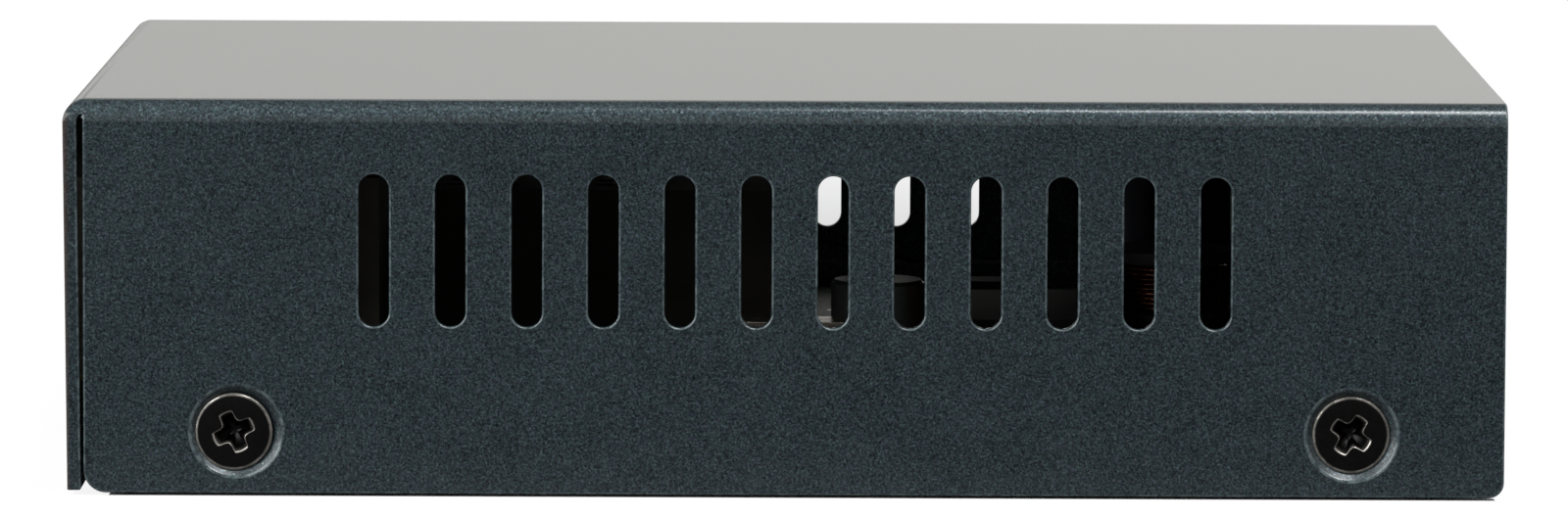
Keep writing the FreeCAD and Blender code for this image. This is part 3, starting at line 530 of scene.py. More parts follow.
softEdges = {  # node: piece, finish, slot, edge width and steps, edge finish
    "cover": ("coverShell", paintedSteel, "painted_steel", 0.13 * mm, 3, rolledPaint),
    "base": ("baseTray", paintedSteel, "painted_steel", 0.1 * mm, 2, rolledPaint),
    "jack_shield": ("jackShell", paintedShadeNickel, "nickel_sheet", 0.04 * mm, 1),
    "jack_insert": ("jackInsert", blackPlastic, "black_plastic", 0.05 * mm, 1),
    "jack_light_left": ("jackLightLeft", greenLens, "green_light", 0.12 * mm),
    "jack_light_right": ("jackLightRight", amberLens, "amber_light", 0.12 * mm),
    "fibre_cage": ("fibreCage", paintedShadeNickel, "nickel_sheet"),
    "fibre_cage_springs": ("cageSprings", springBronze, "spring_bronze"),
    "fibre_host_connector": ("hostConnector", blackPlastic, "black_plastic", 0.08 * mm),
    "fibre_host_contacts": ("hostContacts", goldContact, "gold_contact", 0.04 * mm, 1),
    "light_holder": ("lightHolder", blackPlastic, "black_plastic", 0.08 * mm),
    "switch_body": ("switchBody", switchRed, "switch_red", 0.08 * mm),
    "power_inlet_body": ("inletBody", blackPlastic, "black_plastic", 0.12 * mm),
    "power_inlet_pin": ("inletPin", nickelSheet, "nickel_sheet", 0.05 * mm),
    "power_inlet_spring": ("inletSpring", nickelSheet, "nickel_sheet", 0.04 * mm, 1),
    "low_capacitor": ("lowCapacitor", canAluminium, "capacitor_can", 0.06 * mm),
    "tall_capacitor": ("tallCapacitor", sleevedCan, "capacitor_sleeve", 0.08 * mm),
    "inductor_core": ("inductorCore", ferriteGrey, "ferrite", 0.08 * mm),
    "crystal": ("crystalCan", nickelSheet, "nickel_sheet", 0.1 * mm),
    "circuit_board": ("circuitBoard", boardLaminate, "board_laminate"),
}
for node, (name, material, slot, *edge) in softEdges.items():
    softened(node, name, material, slot, "case", *edge)
for corner in ("front_near", "front_far", "rear_near", "rear_far"):
    name = "standoff" + corner.title().replace("_", "")
    softened("standoff_" + corner, name, zincPlate, "zinc_steel", edge=0.08 * mm)
for number in range(1, 7):
    amber = number == 4
    softened("status_light_%d" % number, "statusLight%d" % number, amberLens if amber else greenLens,
             "amber_light" if amber else "green_light", sharp=40)
for number in range(1, 5):
    softened("switch_lever_%d" % number, "switchLever%d" % number, leverWhite, "lever_white",
             body="lever_%d" % number, edge=0.06 * mm)

print("softened copies made")


def newTree(name, inputs):  # inputs: {label: (socket type, value)}
    tree = bpy.data.node_groups.new(name, "GeometryNodeTree")
    tree.interface.new_socket("Geometry", in_out="INPUT", socket_type="NodeSocketGeometry")
    tree.interface.new_socket("Geometry", in_out="OUTPUT", socket_type="NodeSocketGeometry")
    for label, (kind, value) in inputs.items():
        socket = tree.interface.new_socket(label, in_out="INPUT", socket_type="NodeSocket" + kind)
        if value is not None:
            socket.default_value = value
    graph = Graph(tree)
    return tree, graph, graph.add("NodeGroupInput")


def endTree(graph, shape, material):
    real = graph.add("GeometryNodeRealizeInstances", {}, {"Geometry": shape})
    coated = graph.add("GeometryNodeSetMaterial", {}, {"Geometry": real, "Material": material})
    graph.add("NodeGroupOutput", {}, {"Geometry": coated})


def grow(name, tree, points, values, facts=None, sharp=35):  # a plain mesh grown on points
    mesh = bpy.data.meshes.new(name)
    mesh.from_pydata(points, [], [])
    for label, (kind, entries) in (facts or {}).items():
        stored = mesh.attributes.new(label, kind, "POINT")
        for index, entry in enumerate(entries):
            setattr(stored.data[index], "vector" if kind == "FLOAT_VECTOR" else "value", entry)
    piece = newObject(name, mesh)
    modifier = piece.modifiers.new("shape", "NODES")
    modifier.node_group = tree
    for item in tree.interface.items_tree:
        if item.in_out == "INPUT" and item.name in values:
            modifier[item.identifier] = values[item.name]
    bpy.context.view_layer.update()
    evaluated = piece.evaluated_get(bpy.context.evaluated_depsgraph_get())
    made = bpy.data.meshes.new_from_object(evaluated)
    piece.modifiers.remove(modifier)
    piece.data = made
    made.name = name
    outward = bmesh.new()
    outward.from_mesh(made)
    bmesh.ops.recalc_face_normals(outward, faces=outward.faces)
    outward.to_mesh(made)
    outward.free()
    smoothFaces(made, sharp)
    return piece


def helperLine(name, rows):  # rows: (reach, level, cross share, wear) along a turned outline
    mesh = bpy.data.meshes.new(name)
    mesh.from_pydata([(0, 0, 0.01 * mm * k) for k in range(len(rows))],
                     [(k, k + 1) for k in range(len(rows) - 1)], [])
    for column, label in enumerate(("reach", "level", "cross", "wear")):
        stored = mesh.attributes.new(label, "FLOAT", "POINT")
        for index, row in enumerate(rows):
            stored.data[index].value = row[column]
    return newObject(name, mesh)


# a turned screw whose rings change from circle to cross towards the middle of its head
screwTree, graph, given = newTree("turnedScrew", {
    "Outline": ("Object", None),
    "Segments": ("Int", 96),
    "Cross reach": ("Float", 1.4 * mm),
    "Cross arm": ("Float", 0.5 * mm),
    "Corner round": ("Float", 0.4 * mm),
    "Tip round": ("Float", 0.2 * mm),
    "Finish": ("Material", None),
})
ring = graph.circle(given.out("Segments"), 10 * mm)  # any radius: only the angles are kept
outline = graph.add("GeometryNodeObjectInfo", {}, {"Object": given.out("Outline")}, "Geometry")
section = graph.add("GeometryNodeMeshToCurve", {}, {"Mesh": outline})
swept = graph.sweep(ring, section)
reach, level, cross = [graph.stored(label) for label in ("reach", "level", "cross")]
x, y, z = graph.axes(graph.add("GeometryNodeInputPosition"))
angle = graph.math("ARCTAN2", y, x)
sine = graph.math("SINE", angle)
cosine = graph.math("COSINE", angle)
arm = given.out("Cross arm")
across = arm / graph.math("MAXIMUM", abs(sine), 0.02)
upright = arm / graph.math("MAXIMUM", abs(cosine), 0.02)
arms = graph.math("SMOOTH_MAX", across, upright, given.out("Corner round"))
crossReach = graph.math("SMOOTH_MIN", given.out("Cross reach"), arms, given.out("Tip round"))
radius = reach * (1 - cross + cross * crossReach)
target = graph.point(radius * cosine, radius * sine, level)
shaped = graph.add("GeometryNodeSetPosition", {}, {"Geometry": swept, "Position": target})
merged = graph.add("GeometryNodeMergeByDistance", {}, {"Geometry": shaped, "Distance": 0.001 * mm})
pointed = graph.add("FunctionNodeAlignRotationToVector", {"axis": "Z"},
                    {"Vector": graph.stored("facing", "FLOAT_VECTOR")})
spun = graph.add("FunctionNodeAxisAngleToRotation", {}, {"Axis": (0, 0, 1), "Angle": graph.stored("turn")})
turned = graph.add("FunctionNodeRotateRotation", {"rotation_space": "LOCAL"}, {0: pointed, 1: spun})
endTree(graph, graph.repeat(given, merged, Rotation=turned), given.out("Finish"))

coverScrew = {  # millimetres and degrees
    "segments": 96,
    "headRadius": 2.55,
    "sink": 0.15,  # straight land under the rim
    "shank": 1.5,
    "pitch": 0.5,
    "threadDepth": 0.22,
    "length": 4.0,
    "recess": 1.15,
    "crossReach": 1.36,
    "crossArm": 0.46,
    "cornerRound": 0.95,
    "tipRound": 0.22,
    "turns": {"front_near": 24.0, "rear_near": -33.0, "front_far": 71.0, "rear_far": 12.0},
    "offsets": {"front_near": (-0.18, 0.10, -0.07), "rear_near": (-0.04, 0.03, -0.01),
                "front_far": (0.05, 0.05, 0.03), "rear_far": (0.03, 0.02, -0.04)},
}


def threadRows(start, end, radius, pitch, depth):
    rows = []
    level = start
    while level > end:
        rows += [(radius, level, 0, 0), (radius - depth, level - pitch / 2, 0, 0)]
        level -= pitch
    return rows


def scaledRows(rows):  # a cross ring's reach is a share of the cross, not millimetres
    return [(reach * (1 if cross else mm), level * mm, cross, wear) for reach, level, cross, wear in rows]


def coverScrewRows():
    head, sink, recess, shank, length = [coverScrew[label] for label in
                                         ("headRadius", "sink", "recess", "shank", "length")]
    cone = shank - head - sink
    rows = [(0, -recess - 0.12, 1, 0), (0.38, -recess, 1, 0), (0.8, -0.55, 1, 0), (0.94, -0.10, 1, 0.1),
            (0.97, -0.04, 1, 0.9), (1.0, -0.01, 1, 1.0), (1.03, 0, 1, 0.4), (1.06, 0, 1, 0),
            (head - 0.22, 0, 0, 0), (head - 0.14, -0.008, 0, 0.5), (head - 0.07, -0.04, 0, 1.0),
            (head - 0.02, -0.09, 0, 1.0), (head, -sink, 0, 0.5), (head - 0.05, -sink - 0.05, 0, 0),
            (shank, cone, 0, 0)]
    rows += threadRows(cone - 0.1, -length + 0.6, shank, coverScrew["pitch"], coverScrew["threadDepth"])
    return scaledRows(rows + [(shank - 0.5, -length, 0, 0), (0, -length, 0, 0)])


def screwFacts(facing):
    return {"facing": ("FLOAT_VECTOR", facing),
            "turn": ("FLOAT", [math.radians(coverScrew["turns"][corner]) for corner in corners])}


def screwInputs(outline, material):
    return {"Outline": outline, "Segments": coverScrew["segments"], "Finish": material,
            "Cross reach": coverScrew["crossReach"] * mm, "Cross arm": coverScrew["crossArm"] * mm,
            "Corner round": coverScrew["cornerRound"] * mm, "Tip round": coverScrew["tipRound"] * mm}


sides = [-1 if corner.endswith("near") else 1 for corner in corners]
heads = []
for corner, side in zip(corners, sides):
    low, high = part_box("cover_screw_" + corner)
    middle = (low + high) / 2
    along, outward, up = coverScrew["offsets"][corner]
    face = low.y if side < 0 else high.y
    heads.append((middle.x + along * mm, face + side * outward * mm, middle.z + up * mm))
outline = helperLine("coverScrewOutline", coverScrewRows())
screws = grow("coverScrews", screwTree, heads, screwInputs(outline, blackOxide),
              screwFacts([(0, side, 0) for side in sides]))
bpy.data.objects.remove(outline)
seat(screws, "case", "black_steel", *["cover_screw_" + corner for corner in corners])

boardScrew = {"headRadius": 2.7, "top": 1.8, "dome": 1.1, "shank": 1.25, "length": 5.0, "recess": 1.15,
              "pitch": 0.45, "threadFrom": -1.7, "threadDepth": 0.2}


def boardScrewRows():
    head, top, dome, shank, length = [boardScrew[label] for label in
                                      ("headRadius", "top", "dome", "shank", "length")]
    floor = top - boardScrew["recess"]
    rows = [(0, floor - 0.1, 1, 0), (0.4, floor, 1, 0), (0.93, top - 0.12, 1, 0), (1.0, top, 1, 0.5),
            (1.06, top, 1, 0)]
    for step in range(7):
        angle = math.radians(step * 15)
        rows.append((head - dome + dome * math.sin(angle), top - dome + dome * math.cos(angle), 0, 0))
    rows += [(head, 0.05, 0, 0), (head - 0.05, 0, 0, 0), (shank, 0, 0, 0)]
    rows += threadRows(boardScrew["threadFrom"], -length + 0.5, shank, boardScrew["pitch"],
                       boardScrew["threadDepth"])
    return scaledRows(rows + [(shank - 0.4, -length, 0, 0), (0, -length, 0, 0)])


heads = []
for corner in corners:
    low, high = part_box("board_screw_" + corner)
    heads.append(((low.x + high.x) / 2, (low.y + high.y) / 2, board["top"]))
outline = helperLine("boardScrewOutline", boardScrewRows())
screws = grow("boardScrews", screwTree, heads, screwInputs(outline, zincPlate),
              screwFacts([(0, 0, 1)] * len(corners)))
bpy.data.objects.remove(outline)
seat(screws, "case", "zinc_steel", *["board_screw_" + corner for corner in corners])

print("screws made")

# a row of bent legs on each side of a chip
legTree, graph, given = newTree("bentLegs", {
    "Long": ("Float", 14 * mm),
    "Wide": ("Float", 20 * mm),
    "Legs long": ("Int", 0),
    "Legs wide": ("Int", 20),
    "Pitch": ("Float", 0.65 * mm),
    "Leg width": ("Float", 0.28 * mm),
    "Thickness": ("Float", 0.14 * mm),
    "Reach": ("Float", 0.9 * mm),
    "Drop": ("Float", 1.0 * mm),
    "Finish": ("Material", None),
})
reach = given.out("Reach")
drop = given.out("Drop")
foot = given.out("Thickness") / 2
bend = graph.add("GeometryNodeCurvePrimitiveBezierSegment", {}, {
    "Resolution": 8,
    "Start": graph.point(reach * -0.15, 0, drop),
    "Start Handle": graph.point(reach * 0.65, 0, drop),
    "End Handle": graph.point(reach * 0.3, 0, foot),
    "End": graph.point(reach, 0, foot)})
upright = graph.add("GeometryNodeSetCurveNormal", {"mode": "Z_UP"}, {"Curve": bend})
strip = graph.add("GeometryNodeCurvePrimitiveQuadrilateral", {},
                  {"Width": given.out("Leg width"), "Height": given.out("Thickness")})
leg = graph.sweep(upright, strip, True)


def legRow(count, across):  # legs on one side, half the body's width from the middle
    length = (count - 1) * given.out("Pitch")
    line = graph.add("GeometryNodeMeshLine", {}, {
        "Count": count, "Start Location": graph.point(across / 2, length / -2),
        "Offset": graph.point(0, given.out("Pitch"))})
    return graph.repeat(line, leg)


def turnedCopy(shape, degrees):
    return graph.add("GeometryNodeTransform", {},
                     {"Geometry": shape, "Rotation": (0, 0, math.radians(degrees))})


rows = []
for count, across, start in ((given.out("Legs wide"), given.out("Long"), 0),
                             (given.out("Legs long"), given.out("Wide"), 90)):
    row = legRow(count, across)
    rows += [turnedCopy(row, start), turnedCopy(row, start + 180)]
together = graph.add("GeometryNodeJoinGeometry")
for row in rows:
    graph.tree.links.new(row.socket, together.socket.node.inputs[0])
endTree(graph, graph.repeat(given, together), given.out("Finish"))

chips = {  # piece: node, size, legs along x and y, pitch, leg reach
    "converterChip": ("converter_chip", (14.0, 20.0, 2.1), 20, 30, 0.65, 0.9),
    "lineChip": ("line_chip", (9.0, 9.0, 1.0), 16, 16, 0.5, 0.2),
    "powerChip": ("power_chip", (5.0, 6.2, 1.6), 0, 4, 1.27, 0.9),
    "memoryChip": ("memory_chip", (4.9, 3.9, 1.5), 4, 0, 1.27, 0.8),
}
mould = {
    "gap": 0.08,
    "draft": 0.06,
    "edge": 0.05,
    "dimple": 0.35,
    "dimpleDepth": 0.08,
    "dimpleAt": (0.7, 0.78),  # shares of the half length and width
    "legWidth": 0.42,  # share of the pitch
    "legThickness": 0.14,
    "legDrop": 0.48,  # share of the height
}


def mouldedBody(name, middle, size):  # tapers both ways from its waist; a dimple marks the first leg
    half = Vector(size) * (mm / 2)
    shape = bmesh.new()
    loops = []
    for level, inset in ((mould["gap"], mould["draft"]), (size[2] / 2, 0.0), (size[2], mould["draft"] * 1.5)):
        x, y, z = half.x - inset * mm, half.y - inset * mm, board["top"] + level * mm
        loops.append([shape.verts.new((middle.x + u * x, middle.y + v * y, z))
                      for u, v in ((-1, -1), (1, -1), (1, 1), (-1, 1))])
    shape.faces.new(reversed(loops[0]))
    for lower, upper in zip(loops, loops[1:]):
        for k in range(4):
            shape.faces.new((lower[k], lower[(k + 1) % 4], upper[(k + 1) % 4], upper[k]))
    across, along = mould["dimpleAt"]
    mark = Vector((middle.x - half.x * across, middle.y - half.y * along, loops[2][0].co.z))
    rim = [shape.verts.new(mark + Vector((math.cos(k * math.pi / 8), math.sin(k * math.pi / 8), 0))
                           * mould["dimple"] * mm) for k in range(16)]
    floor = [shape.verts.new(vert.co + (mark - vert.co) * 0.3 - Vector((0, 0, mould["dimpleDepth"] * mm)))
             for vert in rim]
    for k in range(16):
        shape.faces.new((rim[k], rim[(k + 1) % 16], floor[(k + 1) % 16], floor[k]))
    shape.faces.new(floor)
    for k in range(4):  # lid in four parts round the dimple
        edge = [rim[(k * 4 + 10 + j) % 16] for j in range(5)]
        shape.faces.new([loops[2][k], loops[2][(k + 1) % 4]] + edge[::-1])
    bmesh.ops.recalc_face_normals(shape, faces=shape.faces)
    mesh = meshFrom(shape, name)
    mesh.materials.append(packageBlack)
    smoothFaces(mesh)
    piece = newObject(name, mesh)
    bevel = piece.modifiers.new("softEdge", "BEVEL")
    bevel.width = mould["edge"] * mm
    bevel.segments = 2
    bevel.limit_method = "ANGLE"
    evened = piece.modifiers.new("evenNormals", "WEIGHTED_NORMAL")
    evened.weight = 100
    return piece


for name, (node, size, legsLong, legsWide, pitch, reach) in chips.items():
    low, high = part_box(node)
    middle = (low + high) / 2
    seat(mouldedBody(name, middle, size), "case", "chip_black", node)
    legs = grow(name + "Legs", legTree, [(middle.x, middle.y, board["top"])], {
        "Long": size[0] * mm, "Wide": size[1] * mm, "Legs long": legsLong, "Legs wide": legsWide,
        "Pitch": pitch * mm, "Leg width": pitch * mould["legWidth"] * mm,
        "Thickness": mould["legThickness"] * mm, "Reach": reach * mm, "Drop": size[2] * mould["legDrop"] * mm,
        "Finish": solderTin})
    seat(legs, "case", "chip_black")

print("chips made")

# enamelled wire between the flanges of the inductor's core
winding = {"wire": 0.36, "turns": 8.5, "radius": 3.9}
turnsTree, graph, given = newTree("wireTurns", {
    "Turns": ("Float", 8.0),
    "Radius": ("Float", 4 * mm),
    "Rise": ("Float", 3 * mm),
    "Wire": ("Float", 0.4 * mm),
    "Finish": ("Material", None),
})
spiral = graph.add("GeometryNodeCurveSpiral", {}, {
    "Resolution": 40, "Rotations": given.out("Turns"), "Start Radius": given.out("Radius"),
    "End Radius": given.out("Radius"), "Height": given.out("Rise")})
wound = graph.sweep(spiral, graph.circle(10, given.out("Wire") / 2), True)
endTree(graph, graph.repeat(given, wound), given.out("Finish"))

low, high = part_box("inductor_winding")
middle = (low + high) / 2
rise = (high.z - low.z) - winding["wire"] * mm
turns = grow("inductorTurns", turnsTree, [(middle.x, middle.y, low.z + winding["wire"] * mm / 2)], {
    "Turns": winding["turns"], "Radius": winding["radius"] * mm, "Rise": rise, "Wire": winding["wire"] * mm,
    "Finish": copperWire}, sharp=60)
seat(turns, "case", "copper_wire", "inductor_winding")

# sprung wires in the network socket
contactWires = {"count": 8, "pitch": 1.02, "wire": 0.34}
wireTree, graph, given = newTree("contactWires", {
    "Count": ("Int", 8),
    "Pitch": ("Float", 1 * mm),
    "Wire": ("Float", 0.34 * mm),
    "Front": ("Float", 0.0),
    "Rear": ("Float", 10 * mm),
    "Roof": ("Float", 0.0),
    "Dip": ("Float", -2 * mm),
    "Finish": ("Material", None),
})
front, rear, roof, dip = [given.out(label) for label in ("Front", "Rear", "Roof", "Dip")]
length = rear - front
bow = graph.add("GeometryNodeCurvePrimitiveBezierSegment", {}, {
    "Resolution": 18, "Start": graph.point(front, 0, roof),
    "Start Handle": graph.point(front + length * 0.2, 0, roof),
    "End Handle": graph.point(front + length * 0.75, 0, dip + (roof - dip) * 0.15),
    "End": graph.point(rear, 0, dip)})
sprung = graph.sweep(bow, graph.circle(8, given.out("Wire") / 2), True)
span = (given.out("Count") - 1) * given.out("Pitch")
line = graph.add("GeometryNodeMeshLine", {}, {
    "Count": given.out("Count"), "Start Location": graph.point(0, span / -2),
    "Offset": graph.point(0, given.out("Pitch"))})
endTree(graph, graph.repeat(given, graph.repeat(line, sprung)), given.out("Finish"))

low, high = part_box("jack_contacts")
inside = contactWires["wire"] * mm / 2
wires = grow("contactWires", wireTree, [(0, (low.y + high.y) / 2, 0)], {
    "Count": contactWires["count"], "Pitch": contactWires["pitch"] * mm, "Wire": contactWires["wire"] * mm,
    "Front": low.x + inside, "Rear": high.x - inside, "Roof": high.z - inside, "Dip": low.z + inside,
    "Finish": goldContact}, sharp=60)
seat(wires, "case", "gold_contact", "jack_contacts")

# rows of small soldered parts, each a ceramic body between two tinned ends
smallPart = {
    "length": 2.0,
    "width": 1.25,
    "height": 0.9,
    "end": 0.42,
    "swell": 0.06,  # solder on the ends
    "round": 0.08,
    "pitch": 2.9,
    "count": 6,
    "rows": ((-15.0, -11.5), (-15.0, -7.0), (-22.0, 20.0), (20.45, -25.5)),
    "slip": 2.5,  # degrees out of line
    "seed": 7,
}


def boxPart(name, spans, materials):  # boxes end to end along y, rounded
    shape = bmesh.new()
    for index, (start, end, swell) in enumerate(spans):
        made = bmesh.ops.create_cube(shape, size=1.0)
        for vert in made["verts"]:
            vert.co.x *= (smallPart["width"] - smallPart["swell"] + swell) * mm
            vert.co.y = (start if vert.co.y < 0 else end) * mm
            vert.co.z = (vert.co.z + 0.5) * (smallPart["height"] - 0.04 + swell / 2) * mm
        faces = {face for vert in made["verts"] for face in vert.link_faces}
        for face in faces:
            face.material_index = materials[index]
        edges = {edge for face in faces for edge in face.edges}
        bmesh.ops.bevel(shape, geom=list(edges), offset=smallPart["round"] * mm, segments=2, affect="EDGES",
                        profile=0.5)
    mesh = meshFrom(shape, name)
    mesh.materials.append(ceramicTan)
    mesh.materials.append(solderTin)
    return newObject(name, mesh)


partTree, graph, given = newTree("solderedRows", {
    "Part": ("Object", None),
    "Slip": ("Float", math.radians(2)),
    "Seed": ("Int", 7),
})
unit = graph.add("GeometryNodeObjectInfo", {}, {"Object": given.out("Part")}, "Geometry")
slip = graph.add("FunctionNodeRandomValue", {"data_type": "FLOAT"},
                 {2: given.out("Slip") * -1, 3: given.out("Slip"), "Seed": given.out("Seed")}, 1)
turned = graph.add("FunctionNodeAxisAngleToRotation", {}, {"Axis": (0, 0, 1), "Angle": slip})
real = graph.add("GeometryNodeRealizeInstances", {}, {"Geometry": graph.repeat(given, unit, Rotation=turned)})
graph.add("NodeGroupOutput", {}, {"Geometry": real})

half = smallPart["length"] / 2
swell = smallPart["swell"]
part = boxPart("smallPartUnit", ((-half, -half + smallPart["end"], swell), (-half + 0.1, half - 0.1, 0.0),
                                 (half - smallPart["end"], half, swell)), (1, 0, 1))
places = []
for firstX, lowY in smallPart["rows"]:
    for index in range(smallPart["count"]):
        places.append(((firstX + index * smallPart["pitch"] + smallPart["width"] / 2) * mm,
                       (lowY + half) * mm, board["top"]))
parts = grow("smallBoardParts", partTree, places, {
    "Part": part, "Slip": math.radians(smallPart["slip"]), "Seed": smallPart["seed"]})
bpy.data.objects.remove(part)
seat(parts, "case", "ceramic_part", "small_board_parts")

# vias: small tinned rings scattered over the board's upper face
vias = {"length": 84, "width": 56, "pitch": 2.1, "ring": 0.26, "wall": 0.09, "flat": 0.25, "shift": 0.6,
        "keep": 0.45, "seed": 11}
viaTree, graph, given = newTree("boardVias", {
    "Length": ("Float", 84 * mm),
    "Width": ("Float", 56 * mm),
    "Pitch": ("Float", 2 * mm),
    "Ring": ("Float", 0.26 * mm),
    "Wall": ("Float", 0.09 * mm),
    "Keep": ("Float", 0.4),
    "Seed": ("Int", 11),
    "Finish": ("Material", None),
})
grid = graph.add("GeometryNodeMeshGrid", {}, {
    "Size X": given.out("Length"), "Size Y": given.out("Width"),
    "Vertices X": given.out("Length") / given.out("Pitch"),
    "Vertices Y": given.out("Width") / given.out("Pitch")})
most = vias["shift"] * mm
shift = graph.add("FunctionNodeRandomValue", {"data_type": "FLOAT_VECTOR"},
                  {0: (-most, -most, 0), 1: (most, most, 0), "Seed": given.out("Seed")})
moved = graph.add("GeometryNodeSetPosition", {}, {"Geometry": grid, "Offset": shift})
kept = graph.add("FunctionNodeRandomValue", {"data_type": "BOOLEAN"},
                 {"Probability": given.out("Keep"), "Seed": given.out("Seed") + 1}, 3)
ring = graph.sweep(graph.circle(12, given.out("Ring")), graph.circle(4, given.out("Wall")))
flat = graph.add("GeometryNodeTransform", {}, {"Geometry": ring, "Scale": (1, 1, vias["flat"])})
scattered = graph.repeat(moved, flat, Selection=kept)
endTree(graph, graph.repeat(given, scattered), given.out("Finish"))

rings = grow("boardVias", viaTree, [(0.5 * mm, 0, board["top"])], {
    "Length": vias["length"] * mm, "Width": vias["width"] * mm, "Pitch": vias["pitch"] * mm,
    "Ring": vias["ring"] * mm, "Wall": vias["wall"] * mm, "Keep": vias["keep"], "Seed": vias["seed"],
    "Finish": solderTin}, sharp=70)
seat(rings, "case", "board_laminate")

print("board parts made")

sideCamera = {"lens": 219.83, "place": (-0.000791, -0.65696, 0.07864),
              "down": 0.10081, "yaw": -0.0012, "roll": 0.00432}  # radians


def makeCamera():
    data = bpy.data.cameras.new("sideCamera")
    data.lens = sideCamera["lens"]
    data.clip_start = 0.02
    data.clip_end = 50
    camera = newObject("sideCamera", data)
    turn = (Matrix.Rotation(sideCamera["yaw"], 4, "Z")
            @ Matrix.Rotation(math.pi / 2 - sideCamera["down"], 4, "X")
            @ Matrix.Rotation(sideCamera["roll"], 4, "Z"))
    camera.matrix_world = Matrix.Translation(sideCamera["place"]) @ turn
    bpy.context.scene.camera = camera


lamps = {  # place, target, width, height and power
    "leftLamp": ((-0.47, -0.31, 0.30), (0, 0, 0.013), 0.74, 0.56, 8.0),
    "rightLamp": ((0.31, -0.35, 0.81), (0.02, 0, 0.013), 0.36, 0.62, 12.0),
}


def makeLamps():
    for name, (place, target, width, height, power) in lamps.items():
        data = bpy.data.lights.new(name, "AREA")
        data.shape = "RECTANGLE"
        data.size = width
        data.size_y = height
        data.energy = power
        lamp = newObject(name, data)
        aim = (Vector(target) - Vector(place)).to_track_quat("-Z", "Y")
        lamp.matrix_world = Matrix.Translation(place) @ aim.to_matrix().to_4x4()


background = {
    "fill": (0.92, 0.97, 1.0, 1.0),  # on matt surfaces, from all round
    "fillLevel": 0.25,
    "room": (1.0, 0.985, 0.945, 1.0),  # what glossy surfaces show
    "roomLevel": 0.837,
    "darkSide": 0.05,
    "brightFrom": (-0.8, 0.2),  # dark in front, bright behind
    "overhead": 0.75,  # how much the ceiling is dimmed
    "overheadFrom": (0.25, 0.75),
    "lean": (0.95, 0.5),  # brighter to the right
    "band": 0.79,  # low bright band straight in front
    "bandHalf": (0.15, 0.35),
    "bandTop": (0.5, 0.8),
}


def seenDirectly(graph):
    path = graph.add("ShaderNodeLightPath")
    seen = graph.math("MAXIMUM", path.out("Is Camera Ray"), path.out("Is Glossy Ray"))
    return graph.math("MAXIMUM", seen, path.out("Is Transmission Ray"))


def makeBackground():
    world = bpy.data.worlds.new("studio")
    bpy.context.scene.world = world
    graph = emptyGraph(world)
    fill, plain, around, dark = [
        graph.add("ShaderNodeBackground", {}, {"Color": colour, "Strength": strength})
        for colour, strength in ((background["fill"], background["fillLevel"]), (white, 1.0),
                                 (background["room"], background["roomLevel"]),
                                 (white, background["darkSide"]))]
    x, y, z = graph.axes(graph.add("ShaderNodeTexCoord", out="Generated"))
    ceiling = graph.ease(z, *background["overheadFrom"]) * background["overhead"]
    middle, tilt = background["lean"]
    level = graph.ease(y, *background["brightFrom"]) * (1 - ceiling) * (middle + x * tilt)
    band = (y < 0) * (1 - graph.ease(abs(x), *background["bandHalf"]))
    band = band * (1 - graph.ease(z, *background["bandTop"])) * background["band"]
    level = graph.math("MAXIMUM", level, band)
    room = graph.add("ShaderNodeMixShader", {}, {0: level, 1: dark, 2: around})
    path = graph.add("ShaderNodeLightPath")
    shown = graph.add("ShaderNodeMixShader", {}, {0: path.out("Is Camera Ray"), 1: room, 2: plain})
    both = graph.add("ShaderNodeMixShader", {}, {0: seenDirectly(graph), 1: fill, 2: shown})
    graph.add("ShaderNodeOutputWorld", {}, {"Surface": both})


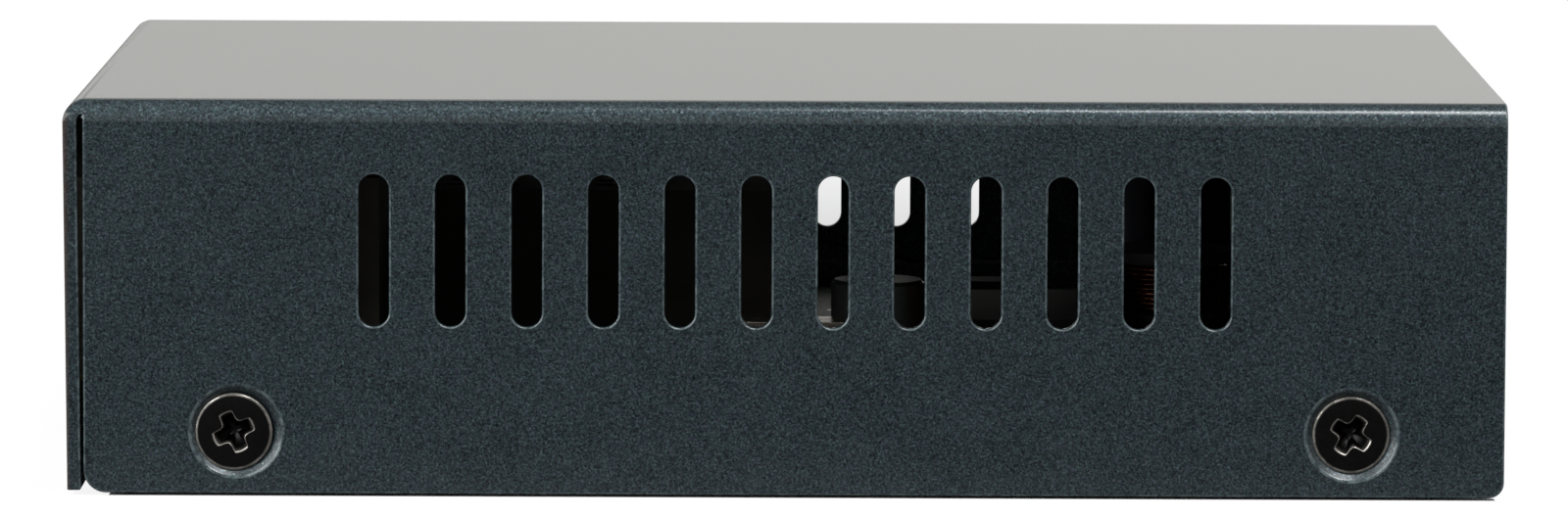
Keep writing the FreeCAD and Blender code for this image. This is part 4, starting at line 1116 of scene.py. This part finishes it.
paleFloor = {
    "half": 3.0,
    "level": -0.05 * mm,
    "colour": (0.92, 0.92, 0.92, 1.0),
    "bounce": (0.15, 0.15, 0.15, 1.0),  # its colour for all but the camera
    "plain": 0.88,  # share of plain white beside the shadow
    "darkInFront": (-75 * mm, -20 * mm),  # in glossy surfaces
    "shaded": 0.44,  # soft shade behind the case
    "shadedBack": (70 * mm, 290 * mm),
    "shadedHalf": (8 * mm, 54 * mm),
    "beneath": (-44.2 * mm, 46.6 * mm, 34.6 * mm),  # front, rear and half width under the case
}


def makeFloor():
    half, level = paleFloor["half"], paleFloor["level"]
    mesh = bpy.data.meshes.new("floor")
    mesh.from_pydata([(-half, -half, level), (half, -half, level), (half, half, level), (-half, half, level)],
                     [], [(0, 1, 2, 3)])
    floor = newObject("floor", mesh)
    material = bpy.data.materials.new("paleFloor")
    graph = emptyGraph(material)
    x, y, z = graph.axes(graph.spot())
    path = graph.add("ShaderNodeLightPath")
    pale = graph.mix(path.out("Is Camera Ray"), paleFloor["bounce"], paleFloor["colour"])
    facing = path.out("Is Glossy Ray") * (1 - graph.ease(y, *paleFloor["darkInFront"]))
    tint = graph.mix(facing * (1 - background["darkSide"]), pale, black)
    shaded = (y > 0) * (1 - graph.ease(y, *paleFloor["shadedBack"]))
    shaded = shaded * (1 - graph.ease(abs(x), *paleFloor["shadedHalf"])) * paleFloor["shaded"]
    lit = graph.add("ShaderNodeBsdfDiffuse", {}, {"Color": graph.mix(shaded, tint, black)})
    plain = graph.add("ShaderNodeEmission", {}, {"Color": graph.mix(shaded, white, black)})
    front, rear, side = paleFloor["beneath"]
    beneath = (x > front) * (x < rear) * (abs(y) < side)
    share = path.out("Is Camera Ray") * paleFloor["plain"] * (1 - beneath)
    both = graph.add("ShaderNodeMixShader", {}, {0: share, 1: lit, 2: plain})
    graph.add("ShaderNodeOutputMaterial", {}, {"Surface": both})
    mesh.materials.append(material)
    floor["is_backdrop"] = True


makeCamera()
makeLamps()
makeBackground()
makeFloor()
bpy.context.scene.view_settings.view_transform = "Standard"

print("stage made")

low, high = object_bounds()
